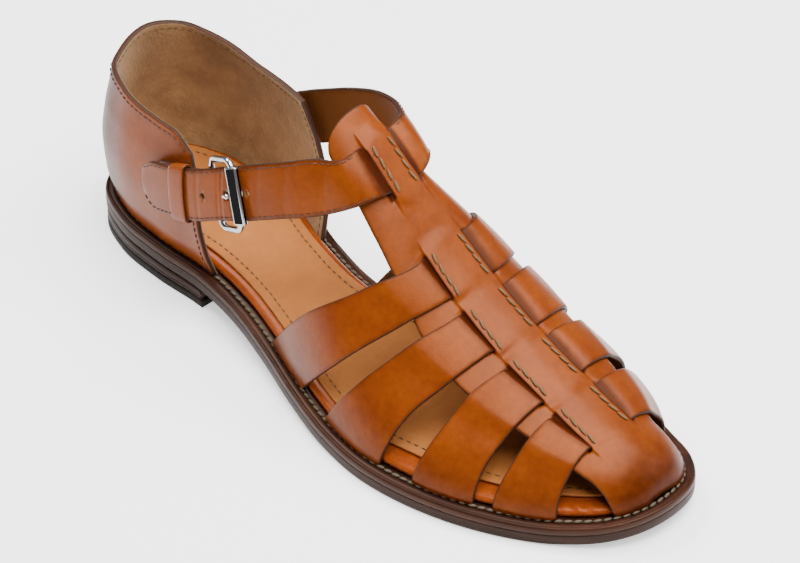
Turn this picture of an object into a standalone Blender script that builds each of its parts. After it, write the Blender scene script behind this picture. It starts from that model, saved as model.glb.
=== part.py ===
"""Fisherman sandal for the right foot: toe toward -Y, outer side toward -X, +Z up.

The tables are in millimetres, in the shoe's own frame, and every mesh is scaled to metres.
The foot's last is a family of cross sections at constant y. The T-bar, toe cap and cross
straps are strips laid on it, so that one set of sizes drives them all.
"""
import math
import bpy
import bmesh
import numpy as np

NAME = "fisherman_sandal"
MM = 0.001
CENTRE_X = -6.9          # middle of the outline, moved to the origin
CENTRE_Y = 1.0

EDGE_HEIGHT = 8.3        # outsole and welt together, at the rim
OUTSOLE = 4.7            # outsole thickness
GAP = 0.3                # clearance between neighbouring pieces
WELT_WIDTH = 10.0        # how far the welt reaches inward
LAST_INSET = 6.2         # from the sole's outline to the inside of the straps
FOOTBED_INSET = 6.9      # from the outline to the rolled edge
SOCK_INSET = 14.6        # from the outline to the sock's cut edge
FOOTBED_HEIGHT = 3.6
SOCK_HEIGHT = 1.3
TBAR_WALL = 1.8
STRAP_WALL = 1.9
LIFT = 1.45              # how far a strap rises over the T-bar, and the band over a strap
COUNTER_WALL = 2.4
BREAST_Y = 70.0          # front face of the heel
TOP_PIECE = 3.6
RING_POINTS = 76

# Outline of the sole seen from above, from the toe round the outer side and the heel.
OUTLINE = (  # x, y
    (5, -149.0), (-9, -146.4), (-19, -140.6), (-31, -127.5), (-42, -110.5), (-50.5, -92.5),
    (-57, -70), (-59.4, -48), (-57, -24), (-50.5, 1), (-43, 24), (-36.5, 48), (-33.2, 72),
    (-33.6, 98), (-31, 122), (-22, 141), (0, 150.5), (22, 141), (31, 122), (33, 98),
    (29.5, 72), (22, 48), (18, 24), (20.5, 1), (32, -23), (41, -46), (45.6, -70),
    (45.2, -92), (39.8, -117), (33.6, -133.5), (21.4, -145.8),
)
# Height of the outsole's underside: toe spring, flat tread, waist and heel seat.
TREAD = (  # y, z
    (-149, 5.6), (-140, 3.3), (-130, 1.4), (-119, 0.25), (-108, 0), (-45, 0), (-30, 0.5),
    (-10, 1.9), (10, 3.9), (30, 6.0), (50, 7.7), (70, 8.7), (100, 9.5), (150.5, 10.3),
)
# Ridge of the last, under the T-bar.
CREST = (  # y, x, z
    (-142.2, 4, 13.6), (-141.4, 3.8, 18), (-139, 3.4, 22.2), (-134.4, 3, 26.0),
    (-128, 2.4, 29.2), (-119.5, 2, 31.6), (-110, 1.9, 34), (-101, 1.9, 36.9),
    (-88, 1.9, 41.2), (-76.5, 1.8, 45.6), (-65, 1.6, 51.2), (-53.5, 1.5, 57.4),
    (-42, 1.4, 64.8), (-31, 1.4, 72.4), (-20, 1.2, 81), (-12.5, 1, 87.2),
    (3.5, 1, 100.5), (15, 1, 109.5), (24, 1, 116),
)
# Fullness of each section: width and height exponents and the bulge of its wall.
FULLNESS = (  # y, outer p, outer q, inner p, inner q, outer bulge, inner bulge
    (-142.2, 2.0, 2.0, 2.0, 2.0, 0, 0), (-124, 1.75, 1.9, 2.05, 1.95, 0, 0),
    (-110, 1.6, 1.8, 2.7, 2.3, 0, 2.2), (-95, 1.5, 1.75, 2.9, 2.4, 0, 3.2),
    (-65, 1.32, 1.65, 3.1, 2.3, 1, 4), (-41, 1.4, 1.75, 3.8, 2.6, 1, 4.5),
    (-12, 1.8, 1.9, 4.8, 3.5, 1, 5), (24, 2.0, 2.0, 3.2, 2.8, 1, 5),
)
# Half width of the T-bar and toe cap, as a part of the way from the ridge to the welt.
TBAR = (  # y, outer, inner
    (-142.2, 1, 1), (-137.4, 1, 1), (-136, 0.86, 0.88), (-134.2, 0.73, 0.75),
    (-131, 0.62, 0.63), (-126, 0.545, 0.555), (-119.5, 0.505, 0.505), (-110, 0.47, 0.48),
    (-98, 0.44, 0.455), (-80, 0.43, 0.45), (-65, 0.415, 0.435), (-46, 0.355, 0.375),
    (-40, 0.325, 0.35), (-26, 0.26, 0.29), (-16, 0.225, 0.265), (-6, 0.2, 0.235),
    (2, 0.182, 0.2), (9, 0.178, 0.19), (13.4, 0.168, 0.18), (16, 0.138, 0.148),
    (17.2, 0.08, 0.085),
)
# Half width of the raised band between the two rows of slots, in mm along the skin.
BAND = (  # y, half width
    (-128, 10.6), (-100, 10.4), (-76, 10.2), (-47, 9.8), (-31, 9.4), (-12, 6.6), (20, 6.2),
)
# Where each cross strap's edges run, at the slot, the T-bar's edge, the shoulder, the welt.
PLACES = (0.12, 0.40, 0.70, 1.00)
STRAPS = (  # name, outer back edge, outer front edge, inner back edge, inner front edge
    ("a", (-30.3, -20.0, 1.0, 23.0), (-45.6, -37.6, -23.5, -3.5),
     (-30.3, -17.0, 2.5, 20.0), (-47.4, -40.4, -25.0, -7.0)),
    ("b", (-51.4, -45.0, -34.6, -20.6), (-68.6, -64.4, -57.6, -53.4),
     (-52.0, -46.6, -31.5, -14.5), (-70.6, -67.5, -59.7, -52.5)),
    ("c", (-76.0, -72.4, -70.6, -68.2), (-94.8, -93.6, -92.5, -93.4),
     (-75.0, -74.0, -69.2, -65.0), (-94.2, -92.8, -90.7, -89.8)),
    ("d", (-100.9, -99.8, -100.0, -100.0), (-119.6, -119.4, -120.2, -121.6),
     (-100.2, -99.4, -97.8, -95.5), (-120.1, -119.0, -118.6, -117.8)),
)
# Edges of the ankle strap's two halves, each from the slot toward the heel.
OUTER_STRAP = (  # top x, y, z, bottom x, y, z
    (-7.2, 4.8, 103.9, -7.2, -12.2, 90.9), (-15.4, 6.6, 101.2, -17.6, -7.2, 88.3),
    (-20.4, 13.4, 101.0, -25.6, 6.2, 80.4), (-26.8, 27.4, 95.2, -32.4, 21.4, 74.0),
    (-31.6, 43.6, 87.4, -36.6, 38.6, 65.6), (-34.8, 54.0, 82.4, -38.6, 49.6, 60.8),
    (-36.8, 65.6, 76.4, -39.8, 61.4, 54.6), (-37.2, 78.0, 70.8, -39.4, 74.2, 49.4),
    (-36.6, 92.0, 65.4, -38.4, 88.6, 44.6), (-35.8, 97.5, 59.6, -36.8, 96.0, 48.8),
)
INNER_STRAP = (
    (11.4, 5.0, 104.8, 11.0, -12.6, 91.4), (16.4, 7.8, 104.0, 15.6, -11.6, 90.6),
    (20.6, 13.2, 103.2, 20.4, -6.2, 86.8), (24.8, 22.6, 100.8, 25.6, 5.8, 81.6),
    (27.8, 36.0, 95.6, 30.0, 21.6, 76.0), (29.2, 52.0, 87.4, 31.4, 40.0, 66.4),
    (28.6, 66.0, 79.4, 30.8, 56.0, 57.6), (27.4, 78.0, 72.6, 28.8, 68.0, 51.6),
)
FRAME_WIRE = 2.6         # thickness of the frame's sides
FRAME_HALF = 14.2        # half height of the frame, along its bars
FRAME_BEND = 3.6         # radius of its corners
PRONG = 0.85             # half thickness of the prong
FRONT_BAR = 5.6          # width of the broad bar that crosses the strap
FRONT_BAR_AT = 4.06      # where the two bars cross the strap, as rows of its table
HINGE_BAR_AT = 5.28
HOLES = (3.8, 4.62, 5.63)    # rows of the punched holes, the prong's hole second
KEEPER_AT = (6.4, 7.05)
KEEPER_WALL = 1.3
TAB = (  # row of the strap's table, depth of the tab's face below the strap
    (5.56, 0.9), (5.85, 1.1), (6.2, 1.95), (7.1, 1.95), (7.6, 2.9), (8.0, 3.3), (8.4, 3.1),
)
# The counter: how far its wall stands off the welt line, and its top line.
COUNTER_WALLS = (  # part of the height, side offset, back offset
    (0.0, 0.0, 0.0), (0.2, 3.2, 2.6), (0.45, 4.6, 2.6), (0.7, 3.4, -0.6), (0.88, 1.4, -3.8),
    (1.0, 0.2, -5.4),
)
COUNTER_TOP = (  # part of the way from the outer front edge to the inner one, z of top line
    (0.0, 72.0), (0.06, 79.0), (0.16, 79.5), (0.32, 82.5), (0.5, 87.0), (0.68, 80.0),
    (0.84, 74.5), (1.0, 75.5),
)
COUNTER_FRONT = (  # part of the height, y of the outer front edge, y of the inner one
    (0.0, 66.5, 52.5), (0.4, 69.5, 58.5), (0.8, 73.5, 64.0), (1.0, 78.0, 69.0),
)


def blend(table, x, column):
    """Smooth monotone curve through one column of a table whose first column rises."""
    t = np.array([row[0] for row in table], float)
    v = np.array([row[column] for row in table], float)
    h = np.diff(t)
    d = np.diff(v) / h
    m = np.zeros(len(t))
    same = d[:-1] * d[1:] > 0
    w1 = 2 * h[1:] + h[:-1]
    w2 = h[1:] + 2 * h[:-1]
    safe0 = np.where(same, d[:-1], 1.0)
    safe1 = np.where(same, d[1:], 1.0)
    m[1:-1] = np.where(same, (w1 + w2) / (w1 / safe0 + w2 / safe1), 0.0)
    m[0] = d[0]
    m[-1] = d[-1]
    x = np.clip(np.asarray(x, float), t[0], t[-1])
    i = np.clip(np.searchsorted(t, x, side="right") - 1, 0, len(t) - 2)
    u = (x - t[i]) / h[i]
    a = v[i] * (1 + 2 * u) * (1 - u) ** 2 + v[i + 1] * u * u * (3 - 2 * u)
    return a + h[i] * (m[i] * u * (1 - u) ** 2 + m[i + 1] * u * u * (u - 1))


def closed_curve(points, count):
    """Closed smooth curve through the points, sampled evenly along its length."""
    p = np.array(points, float)
    chord = np.linalg.norm(np.roll(p, -1, 0) - p, axis=1)
    before = np.roll(chord, 1)
    slope_in = (p - np.roll(p, 1, 0)) / before[:, None]
    slope_out = (np.roll(p, -1, 0) - p) / chord[:, None]
    tangent = (slope_in * chord[:, None] + slope_out * before[:, None])
    tangent = tangent / (chord + before)[:, None]
    fine = []
    for i in range(len(p)):
        j = (i + 1) % len(p)
        u = np.linspace(0, 1, 24, endpoint=False)[:, None]
        c = chord[i]
        a = p[i] * (1 + 2 * u) * (1 - u) ** 2 + p[j] * u * u * (3 - 2 * u)
        fine.append(a + c * (tangent[i] * u * (1 - u) ** 2 + tangent[j] * u * u * (u - 1)))
    fine = np.vstack(fine)
    loop = np.vstack([fine, fine[:1]])
    run = np.concatenate([[0], np.cumsum(np.linalg.norm(np.diff(loop, axis=0), axis=1))])
    at = np.linspace(0, run[-1], count + 1)[:-1]
    return np.stack([np.interp(at, run, loop[:, 0]), np.interp(at, run, loop[:, 1])], 1)


def inset(loop, distance):
    """The loop moved inward by a distance."""
    t = np.roll(loop, -1, 0) - np.roll(loop, 1, 0)
    t = t / np.linalg.norm(t, axis=1)[:, None]
    n = np.stack([t[:, 1], -t[:, 0]], 1)
    sign = np.sign(((loop.mean(0) - loop) * n).sum(1).mean())
    return loop + n * sign * distance


DENSE = closed_curve(OUTLINE, 720)


def two_sides(distance):
    """Outer and inner halves of the inset outline, each from toe to heel."""
    loop = inset(DENSE, distance)
    loop = np.roll(loop, -int(loop[:, 1].argmin()), 0)
    heel = int(loop[:, 1].argmax())
    one = loop[:heel + 1]
    two = np.vstack([loop[heel:], loop[:1]])[::-1]
    if one[len(one) // 2, 0] > two[len(two) // 2, 0]:
        one, two = two, one
    return one, two


LAST_OUTER, LAST_INNER = two_sides(LAST_INSET)


def tread_z(y):
    return blend(TREAD, y, 1)


def welt_z(y):
    return tread_z(y) + EDGE_HEIGHT


THETA = np.concatenate([-(1 - np.linspace(0, 1, 71) ** 1.6)[:-1], [0.0],
                        (1 - np.linspace(0, 1, 71) ** 1.6)[::-1][1:]]) * math.pi / 2


def sections(y):
    """Cross sections of the last at each y, from the outer welt over the ridge."""
    y = np.asarray(y, float).ravel()[:, None]
    th = THETA[None, :]
    cx = blend(CREST, y, 1)
    cz = blend(CREST, y, 2)
    outer = np.interp(y, LAST_OUTER[:, 1], LAST_OUTER[:, 0])
    inner = np.interp(y, LAST_INNER[:, 1], LAST_INNER[:, 0])
    z0 = welt_z(y) + GAP
    side = th < 0
    p = np.where(side, blend(FULLNESS, y, 1), blend(FULLNESS, y, 3))
    q = np.where(side, blend(FULLNESS, y, 2), blend(FULLNESS, y, 4))
    bulge = np.where(side, blend(FULLNESS, y, 5), blend(FULLNESS, y, 6))
    w = np.where(side, outer - cx, inner - cx)
    across = np.abs(np.sin(th)) ** (2 / p)
    up = np.abs(np.cos(th)) ** (2 / q)
    height = np.maximum(cz - z0, 0.3)
    x = cx + w * across + np.sign(w) * bulge * 4 * up * (1 - up) * across
    return np.stack([x, np.broadcast_to(y, x.shape), z0 + height * up], -1)


def lengths(y):
    """Skin length from the ridge to the outer and to the inner welt."""
    s = sections(y)
    step = np.linalg.norm(np.diff(s, axis=1), axis=2)
    m = len(THETA) // 2
    return step[:, :m].sum(1), step[:, m:].sum(1)


def skin(y, f):
    """Points on the last at y, f of the way from the ridge to the welt (outer is negative)."""
    y = np.asarray(y, float)
    shape = y.shape
    y = y.ravel()
    f = np.asarray(f, float).ravel()
    s = sections(y)
    step = np.linalg.norm(np.diff(s, axis=1), axis=2)
    run = np.concatenate([np.zeros((len(y), 1)), np.cumsum(step, 1)], 1)
    m = len(THETA) // 2
    run = run - run[:, m:m + 1]
    out = np.empty((len(y), 3))
    for i in range(len(y)):
        t = f[i] * (run[i, -1] if f[i] > 0 else -run[i, 0])
        for k in range(3):
            out[i, k] = np.interp(t, run[i], s[i, :, k])
    return out.reshape(shape + (3,))


def grid_normals(p):
    """Unit normals of a grid of points, pointing up or outward."""
    a = np.gradient(p, axis=0)
    b = np.gradient(p, axis=1)
    n = np.cross(a, b)
    n = n / np.maximum(np.linalg.norm(n, axis=2), 1e-9)[:, :, None]
    if n[:, :, 2].sum() < 0:
        n = -n
    return n


def material(name, colour, roughness, metallic=0.0):
    m = bpy.data.materials.new(name)
    m.use_nodes = True
    shader = m.node_tree.nodes["Principled BSDF"]
    shader.inputs["Base Color"].default_value = colour + (1.0,)
    shader.inputs["Roughness"].default_value = roughness
    shader.inputs["Metallic"].default_value = metallic
    m.diffuse_color = colour + (1.0,)
    return m


def add_object(name, bm, mat, group):
    """Finish a mesh: shift to the origin, scale to metres, shade and link."""
    for v in bm.verts:
        v.co.x = (v.co.x - CENTRE_X) * MM
        v.co.y = (v.co.y - CENTRE_Y) * MM
        v.co.z = v.co.z * MM
    bmesh.ops.recalc_face_normals(bm, faces=bm.faces)
    if bm.calc_volume(signed=True) < 0:
        bmesh.ops.reverse_faces(bm, faces=bm.faces)
    mesh = bpy.data.meshes.new(name)
    bm.to_mesh(mesh)
    bm.free()
    mesh.materials.append(mat)
    mesh.shade_smooth()
    mesh.set_sharp_from_angle(angle=math.radians(40))
    ob = bpy.data.objects.new(name, mesh)
    group.objects.link(ob)
    return ob


def wall_mesh(inside, outside):
    """Closed wall between two grids of the same size, both made as primitive grids."""
    bm = bmesh.new()
    rows, cols = inside.shape[:2]
    sheets = []
    for grid in (inside, outside):
        made = bmesh.ops.create_grid(bm, x_segments=cols - 1, y_segments=rows - 1, size=1)
        verts = made["verts"]
        for k, v in enumerate(verts):
            v.co = grid[k // cols, k % cols]
        sheets.append(verts)
    rim = [(0, j) for j in range(cols)] + [(i, cols - 1) for i in range(1, rows)]
    rim += [(rows - 1, j) for j in range(cols - 2, -1, -1)]
    rim += [(i, 0) for i in range(rows - 2, 0, -1)]
    ring = [i * cols + j for i, j in rim]
    for a, b in zip(ring, ring[1:] + ring[:1]):
        bm.faces.new((sheets[0][a], sheets[0][b], sheets[1][b], sheets[1][a]))
    return bm


def ring_loft(rings, capped=True):
    """Loft through closed rings of equal count, capped by ladders across the shoe."""
    bm = bmesh.new()
    made = [[bm.verts.new(tuple(p)) for p in ring] for ring in rings]
    n = len(made[0])
    pairs = list(zip(made, made[1:]))
    if not capped:
        pairs.append((made[-1], made[0]))
    for low, high in pairs:
        for i in range(n):
            j = (i + 1) % n
            bm.faces.new((low[i], low[j], high[j], high[i]))
    if capped:
        for ring in (made[0], made[-1]):
            for i in range(n // 2 - 1):
                a, b = ring[i], ring[i + 1]
                c, d = ring[n - 2 - i], ring[n - 1 - i]
                corners = [a, b, c, d]
                if b is c:
                    corners = [a, b, d]
                bm.faces.new(corners)
    return bm


def sole_ring(distance, height, y_from=None):
    """A ring at an inset, with its height worked out from y."""
    loop = inset(DENSE, distance)
    loop = np.roll(loop, -int(loop[:, 1].argmin()), 0)
    step = len(loop) / RING_POINTS
    pick = [loop[int(round((i + 0.5) * step)) % len(loop)] for i in range(RING_POINTS)]
    pick = np.array(pick)
    z = height(pick[:, 1])
    return np.column_stack([pick, z])


def heel_ring(distance, height, count=30):
    """The heel's outline behind its breast, at an inset, from breast corner to corner."""
    loop = inset(DENSE, distance)
    loop = np.roll(loop, -int(loop[:, 1].argmin()), 0)
    back = loop[loop[:, 1] > BREAST_Y + distance]
    at = np.linspace(0, len(back) - 1, count).round().astype(int)
    pick = back[at]
    return np.column_stack([pick, height(pick[:, 1])])


def heel_loft(rings):
    """Loft for the heel pieces: every ring is closed by the straight breast."""
    return ring_loft(rings)


def make_sole(group, mats):
    base = tread_z
    mid_welt = OUTSOLE + GAP
    rings = [sole_ring(d, lambda y, h=h: base(y) + h) for d, h in (
        (3.4, 0.0), (1.1, 0.0), (0.25, 0.7), (0.0, 1.7), (0.45, 2.1), (0.0, 2.5), (0.1, 3.9),
        (0.5, OUTSOLE), (3.5, OUTSOLE))]
    add_object("outsole", ring_loft(rings), mats["sole"], group)
    rings = [sole_ring(d, lambda y, h=h: base(y) + h) for d, h in (
        (WELT_WIDTH, mid_welt), (0.9, mid_welt), (0.25, mid_welt + 0.5), (0.25, mid_welt + 2.2),
        (0.9, EDGE_HEIGHT - 0.1), (1.6, EDGE_HEIGHT - 0.5), (2.3, EDGE_HEIGHT),
        (WELT_WIDTH, EDGE_HEIGHT))]
    add_object("welt", ring_loft(rings, capped=False), mats["welt"], group)
    low = mid_welt
    over = EDGE_HEIGHT + GAP
    top = over + FOOTBED_HEIGHT
    plug = WELT_WIDTH + GAP
    rings = [sole_ring(d, lambda y, h=h: base(y) + h) for d, h in (
        (plug + 4, low), (plug, low), (plug, over), (FOOTBED_INSET + 0.6, over),
        (FOOTBED_INSET, over + 0.7), (FOOTBED_INSET, over + 2.0),
        (FOOTBED_INSET + 0.9, top - 0.5), (FOOTBED_INSET + 2.2, top),
        (SOCK_INSET - 0.8, top), (SOCK_INSET + 2, top))]
    add_object("footbed", ring_loft(rings), mats["rim"], group)
    seat = top + GAP
    rings = [sole_ring(d, lambda y, h=h: base(y) + h) for d, h in (
        (SOCK_INSET + 2, seat), (SOCK_INSET, seat), (SOCK_INSET, seat + SOCK_HEIGHT - 0.3),
        (SOCK_INSET + 0.4, seat + SOCK_HEIGHT), (SOCK_INSET + 3, seat + SOCK_HEIGHT))]
    add_object("insole", ring_loft(rings), mats["sock"], group)
    flat = [(0.8, 0.0), (0.3, 0.5), (0.3, TOP_PIECE)]
    rings = [heel_ring(d, lambda y, h=h: np.full(len(y), h)) for d, h in flat]
    add_object("heel_top_piece", heel_loft(rings), mats["heel"], group)
    rings = [heel_ring(0.5, lambda y: np.full(len(y), TOP_PIECE + GAP)),
             heel_ring(0.4, lambda y: tread_z(y) - GAP)]
    add_object("heel_lift", heel_loft(rings), mats["sole"], group)


def band_half(y):
    return blend(BAND, y, 1)


def tbar_grid():
    """Grid of (y, f) and of the lift for the T-bar and toe cap."""
    y = np.concatenate([-142.2 + 4.8 * np.array([0.05, 0.13, 0.26, 0.45, 0.7]),
                        [-137.4, -136, -134.2, -131, -126, -120.5, -114, -107, -99.5, -92,
                         -84, -76, -68.5, -60, -52, -45, -38, -31, -24, -18, -12, -6, 0, 5,
                         9.5, 13.4, 16, 17.2]])
    long_outer, long_inner = lengths(y)
    wide = [blend(TBAR, y, 1) * long_outer, blend(TBAR, y, 2) * long_inner]
    half = band_half(y)
    columns = []
    for side, edge, length in ((-1, wide[0], long_outer), (1, wide[1], long_inner)):
        scale = np.minimum(1.0, edge / (half + 4.0))
        inner = [half * 0.5 * scale, (half - 0.9) * scale, (half + 0.9) * scale]
        rest = edge - inner[-1]
        outer = [inner[-1] + rest * u for u in (0.5, 1.0)]
        marks = inner + outer
        if side < 0:
            marks = marks[::-1] + [np.zeros(len(y))]
        columns += [(side * m / length, m) for m in marks]
    f = np.stack([c[0] for c in columns], 1)
    away = np.stack([c[1] for c in columns], 1)
    grid_y = np.repeat(y[:, None], f.shape[1], 1)
    fade = np.clip((y + 127) / 6, 0, 1)[:, None] * np.clip((9.5 - y) / 5, 0, 1)[:, None]
    rise = np.where(away < half[:, None] - 0.1, 1.0, 0.0)
    return grid_y, f, LIFT * fade * rise


def make_tbar():
    y, f, lift = tbar_grid()
    p = skin(y, f)
    n = grid_normals(p)
    inside = p + n * lift[:, :, None]
    outside = p + n * (lift + TBAR_WALL)[:, :, None]
    return wall_mesh(above_welt(inside), above_welt(outside))


def above_welt(p):
    """Keep a grid's points clear of the welt's top."""
    p = p.copy()
    p[:, :, 2] = np.maximum(p[:, :, 2], welt_z(p[:, :, 1]) + GAP)
    return p


def strap_marks(y_mid, side):
    """Distances from the ridge at which a strap changes height, and its base lift there."""
    lo, li = lengths(np.array([y_mid]))
    length = float((lo if side < 0 else li)[0])
    half = float(band_half(y_mid))
    edge = float(blend(TBAR, y_mid, 1 if side < 0 else 2)) * length
    marks = [(0.0, 0.0), (half - 1.8, 0.0), (half + 1.6, LIFT), ((half + edge) / 2, LIFT),
             (edge + 0.6, LIFT), (edge + 3.0, LIFT * 0.55), (edge + 6.0, 0.0)]
    rest = length - marks[-1][0]
    count = max(4, int(round(rest / 6.5)))
    marks += [(edge + 6.0 + rest * (k + 1) / count, 0.0) for k in range(count)]
    return [(m / length, h) for m, h in marks]


def make_strap(row, across=5):
    name, outer_back, outer_front, inner_back, inner_front = row
    mid = (outer_back[0] + outer_front[0]) / 2
    path = [(-f, h) for f, h in strap_marks(mid, -1)][::-1]
    path += strap_marks((inner_back[0] + inner_front[0]) / 2, 1)[1:]
    f = np.array([p[0] for p in path])
    lift = np.array([p[1] for p in path])
    table_back = [(-k, v) for k, v in zip(PLACES, outer_back)][::-1]
    table_back += list(zip(PLACES, inner_back))
    table_front = [(-k, v) for k, v in zip(PLACES, outer_front)][::-1]
    table_front += list(zip(PLACES, inner_front))
    back = blend(table_back, f, 1)
    front = blend(table_front, f, 1)
    u = np.linspace(0, 1, across)[None, :]
    y = back[:, None] * (1 - u) + front[:, None] * u
    grid_f = np.repeat(f[:, None], across, 1)
    p = skin(y, grid_f)
    n = grid_normals(p)
    inside = p + n * lift[:, None, None]
    outside = p + n * (lift + STRAP_WALL)[:, None, None]
    return wall_mesh(above_welt(inside), above_welt(outside))


def make_upper(group, mats):
    """T-bar, toe cap and cross straps, joined where they cross into one wall."""
    body = add_object("upper", make_tbar(), mats["leather"], group)
    for row in STRAPS:
        strap = add_object("strap_" + row[0], make_strap(row), mats["leather"], group)
        join(body, strap, "UNION")
        bpy.data.objects.remove(strap)
    return body


def join(ob, other, operation):
    """Join another object to this one, or cut it away, with an exact boolean."""
    step = ob.modifiers.new("join", "BOOLEAN")
    step.operation = operation
    step.solver = "EXACT"
    step.object = other
    settle(ob)


def settle(ob):
    """Replace an object's mesh by its evaluated one and drop its modifiers."""
    graph = bpy.context.evaluated_depsgraph_get()
    mesh = bpy.data.meshes.new_from_object(ob.evaluated_get(graph))
    ob.modifiers.clear()
    ob.data = mesh
    bm = bmesh.new()
    bm.from_mesh(mesh)
    bmesh.ops.remove_doubles(bm, verts=bm.verts, dist=0.00002)
    bmesh.ops.dissolve_degenerate(bm, edges=bm.edges, dist=0.00001)
    bm.to_mesh(mesh)
    bm.free()
    mesh.shade_smooth()
    mesh.set_sharp_from_angle(angle=math.radians(40))


def band_grid(table, rows, across):
    """Grid of points of a band given by its top and bottom edges."""
    keyed = [(float(i),) + tuple(r) for i, r in enumerate(table)]
    t = np.linspace(0, len(table) - 1, rows)
    edge = [np.stack([blend(keyed, t, 1 + s + k) for k in range(3)], 1) for s in (0, 3)]
    u = np.linspace(0, 1, across)[None, :, None]
    p = edge[0][:, None, :] * (1 - u) + edge[1][:, None, :] * u
    crown = 4 * u * (1 - u)
    return p, crown


def band_normals(p, side):
    a = np.gradient(p, axis=0)
    b = np.gradient(p, axis=1)
    n = np.cross(a, b)
    n = n / np.maximum(np.linalg.norm(n, axis=2), 1e-9)[:, :, None]
    if (n[:, :, 0] * side).sum() < 0:
        n = -n
    return n


def make_ankle(group, mats):
    cutters = bpy.data.collections["cutters"]
    for name, table, side, rows in (("ankle_strap", OUTER_STRAP, -1, 22),
                                    ("inside_strap", INNER_STRAP, 1, 18)):
        p, crown = band_grid(table, rows, 5)
        n = band_normals(p, side)
        p = p + n * crown * 0.7
        thick = np.full(rows, STRAP_WALL)
        thick[0] = 0.9
        bm = wall_mesh(p, p + n * thick[:, None, None])
        ob = add_object(name, bm, mats["leather"], group)
        if name == "ankle_strap":
            for k, at in enumerate(HOLES):
                centre, normal = strap_point(at)
                wide = 2.1 if k == 1 else 1.6
                hole = cylinder("hole_%d" % k, centre, normal, wide, 8.0, cutters, mats)
                join(ob, hole, "DIFFERENCE")


def strap_point(at, across=0.5, off=0.0):
    """A point on the outer strap's inside face and the face's outward normal, in mm."""
    p, crown = band_grid(OUTER_STRAP, 91, 9)
    n = band_normals(p, -1)
    p = p + n * crown * 0.7
    i = int(round(at * 10))
    j = int(round(across * 8))
    return p[i, j] + n[i, j] * off, n[i, j]


def shoe_axes(at):
    """Run, up and outward directions of the outer strap at a row position."""
    a, n = strap_point(at - 0.3)
    b, n2 = strap_point(at + 0.3)
    run = (b - a) / np.linalg.norm(b - a)
    out = (n + n2) / 2
    out = out - run * out.dot(run)
    out = out / np.linalg.norm(out)
    up = np.cross(run, out)
    if up[2] < 0:
        up = -up
    return run, up, out


def cylinder(name, centre, axis, radius, depth, group, mats, sides=12):
    """A cutter: cylinder primitive along an axis."""
    bm = bmesh.new()
    bmesh.ops.create_cone(bm, cap_ends=True, segments=sides, radius1=radius, radius2=radius,
                          depth=depth)
    z = np.array(axis) / np.linalg.norm(axis)
    x = np.cross(z, (0.3, 0.2, 0.9))
    x = x / np.linalg.norm(x)
    y = np.cross(z, x)
    for v in bm.verts:
        v.co = centre + x * v.co.x + y * v.co.y + z * v.co.z
    ob = add_object(name, bm, mats["leather"], group)
    ob.hide_render = True
    ob.display_type = "WIRE"
    return ob


def counter_line(v, count):
    """Outline of the counter at a part v of its height, from outer front to inner front."""
    loop = inset(DENSE, LAST_INSET - COUNTER_WALL + 0.3)
    loop = np.roll(loop, -int(loop[:, 1].argmin()), 0)
    if loop[len(loop) // 4, 0] > 0:
        loop = loop[::-1]
    heel = int(loop[:, 1].argmax())
    front_outer = float(blend(COUNTER_FRONT, v, 1))
    front_inner = float(blend(COUNTER_FRONT, v, 2))
    keep = [i for i in range(len(loop)) if (i <= heel and loop[i, 1] >= front_outer)
            or (i > heel and loop[i, 1] >= front_inner)]
    path = loop[keep]
    run = np.concatenate([[0], np.cumsum(np.linalg.norm(np.diff(path, axis=0), axis=1))])
    at = np.linspace(0, run[-1], count)
    p = np.stack([np.interp(at, run, path[:, 0]), np.interp(at, run, path[:, 1])], 1)
    t = np.gradient(p, axis=0)
    t = t / np.linalg.norm(t, axis=1)[:, None]
    n = np.stack([t[:, 1], -t[:, 0]], 1)
    n = np.where((n * (p - p.mean(0))).sum(1)[:, None] < 0, -n, n)
    back = np.clip(n[:, 1], 0, 1) ** 2
    push = blend(COUNTER_WALLS, v, 1) * (1 - back) + blend(COUNTER_WALLS, v, 2) * back
    return p + n * push[:, None]


def counter_grid(count=30, rows=9):
    grid = []
    for v in np.linspace(0, 1, rows):
        line = counter_line(v, count)
        u = np.linspace(0, 1, count)
        low = welt_z(line[:, 1]) + GAP
        top = blend(COUNTER_TOP, u, 1)
        grid.append(np.column_stack([line, low + (top - low) * v]))
    return np.array(grid)


def make_counter(group, mats):
    p = counter_grid()
    a = np.gradient(p, axis=0)
    b = np.gradient(p, axis=1)
    n = np.cross(a, b)
    n = n / np.linalg.norm(n, axis=2)[:, :, None]
    middle = np.array([0.0, 100.0, 0.0])
    if (n * (p - middle))[:, :, :2].sum() < 0:
        n = -n
    flat = n.copy()
    flat[0, :, 2] = 0
    flat[0] = flat[0] / np.linalg.norm(flat[0], axis=1)[:, None]
    counter = add_object("counter", wall_mesh(p - flat * COUNTER_WALL, p), mats["suede"], group)
    add_tab(counter, group, mats)


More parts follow.
